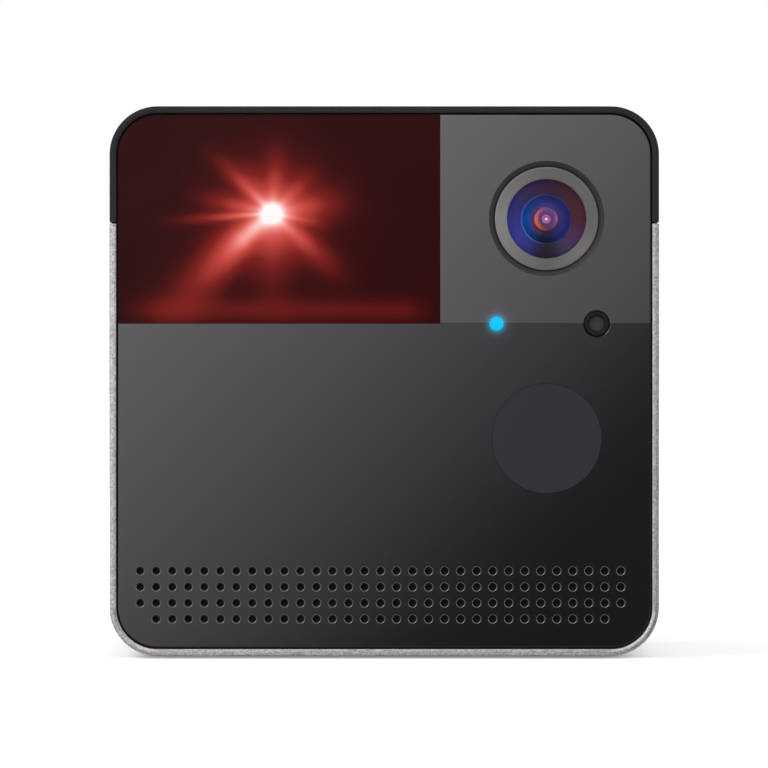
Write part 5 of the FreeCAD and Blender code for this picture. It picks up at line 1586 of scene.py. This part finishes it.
print("The floor lies", in_mm([floor_drop]), "mm below the object")

# %% [markdown]
# The sky lights the object evenly. To the camera, to gloss and to clear pieces it is plain white.

# %% Sky
world = bpy.data.worlds.new("studio_sky")
bpy.context.scene.world = world
world.use_nodes = True
sky = world.node_tree
sky.nodes.clear()
sky_ray = add_node(sky, "ShaderNodeLightPath")
seen = sum_up(sky, "MAXIMUM", sky_ray.outputs["Is Camera Ray"], sum_up(
    sky, "MAXIMUM", sky_ray.outputs["Is Glossy Ray"], sky_ray.outputs["Is Transmission Ray"]))
sky_light = 0.62
sky_strength = sum_up(sky, "MULTIPLY_ADD", seen, 1.0 - sky_light, sky_light)
sky_back = add_node(sky, "ShaderNodeBackground", Color=(1, 1, 1, 1), Strength=sky_strength)
add_node(sky, "ShaderNodeOutputWorld", Surface=sky_back.outputs[0])
print("The sky lights the object with a strength of", sky_light)

# %% [markdown]
# The polished front is a mirror for whatever stands behind the camera. In the photograph it shows a
# grey that falls off from the top left to the bottom right, so a large card with that same fall-off
# stands there. Only gloss sees it. Where the card is dark, the front shows its own deep colour.

# %% Graded card behind the camera
camera_distance = 1.1
camera_x, camera_z = -0.04 * MM, 40.06 * MM
card_distance = 1.85
card_size = 1.3
mirror_stretch = 1 + card_distance / camera_distance
gloss = 0.04
front_middle = 0.0498
front_slope = 1.1677
brightest = 3.6

start_fresh()
bpy.ops.mesh.primitive_plane_add(
    size=card_size, location=(camera_x, front_y - card_distance, camera_z),
    rotation=(math.pi / 2, 0, 0),
)
card = settle("graded_card")
card_finish, card_tree = bare_finish("graded_card")
card_place = add_node(card_tree, "ShaderNodeTexCoord")
card_split = add_node(card_tree, "ShaderNodeSeparateXYZ", Vector=card_place.outputs["Object"])
slant = sum_up(card_tree, "SUBTRACT", sum_up(card_tree, "SUBTRACT", card_split.outputs["X"], camera_x),
               sum_up(card_tree, "SUBTRACT", card_split.outputs["Z"], camera_z))
card_light = sum_up(card_tree, "MULTIPLY_ADD", slant, -front_slope / gloss / mirror_stretch,
                    front_middle / gloss)
card_held = add_node(card_tree, "ShaderNodeClamp", Value=card_light, Min=0.0, Max=brightest)
card_glow = add_node(card_tree, "ShaderNodeEmission", Color=(1.0, 0.95, 1.0, 1),
                     Strength=card_held.outputs[0])
add_node(card_tree, "ShaderNodeOutputMaterial", Surface=card_glow.outputs[0])
card.data.materials.append(card_finish)
card.visible_camera = False
card.visible_diffuse = False
card.visible_shadow = False
card.visible_transmission = False
print("The card is", card_size, "m wide and stands", card_distance, "m before the front")

# %% [markdown]
# Soft square lamps stand well away, each turned to the object's middle: a key lamp from the upper
# left, a weaker fill from the right, and one behind for the back. A small fourth one grazes the
# front from above, and only edges the sound holes with light. It casts no shadow on the floor.

# %% Lamps
aim_height = 40 * MM


def soft_lamp(name, place, size, power):
    start_fresh()
    bpy.ops.object.light_add(type="AREA", location=place)
    lamp_object = bpy.context.object
    lamp_object.name = name
    lamp_object.data.shape = "SQUARE"
    lamp_object.data.size = size
    lamp_object.data.energy = power
    toward = Vector((0, 0, aim_height)) - Vector(place)
    lamp_object.rotation_mode = "QUATERNION"
    lamp_object.rotation_quaternion = toward.to_track_quat("-Z", "Y")
    return lamp_object


soft_lamp("key_lamp", (-0.7, -0.7, 0.9), 0.7, 7.0)
soft_lamp("fill_lamp", (0.8, -0.5, 0.6), 0.8, 3.5)
soft_lamp("back_lamp", (0.3, 1.0, 0.8), 0.8, 4.0)
rim_lamp = soft_lamp("rim_lamp", (-0.6, -0.08, 0.62), 0.45, 2.5)
rim_lamp.data.use_shadow = False

# %% [markdown]
# ## Camera
# The photograph is taken square-on from about a metre with a long lens, so the front's edges stay
# straight and the sides don't show. The frame's width at the front panel gives the focal length.

# %% Camera
picture_pixels = 768
pixel_size = 0.14559 * MM
sensor_width = 36.0
picture_width = picture_pixels * pixel_size
start_fresh()
bpy.ops.object.camera_add(location=(camera_x, front_y - camera_distance, camera_z),
                          rotation=(math.pi / 2, 0, 0))
camera = bpy.context.object
camera.name = "photo_camera"
camera.data.sensor_width = sensor_width
camera.data.lens = sensor_width * camera_distance / picture_width
camera.data.clip_start = 0.01
camera.data.clip_end = 100.0
bpy.context.scene.camera = camera
bpy.context.scene.view_settings.view_transform = "Standard"
print("Focal length:", round(camera.data.lens, 1), "mm")

# %% [markdown]
# The last cell leaves nothing selected.

# %% The end
start_fresh()
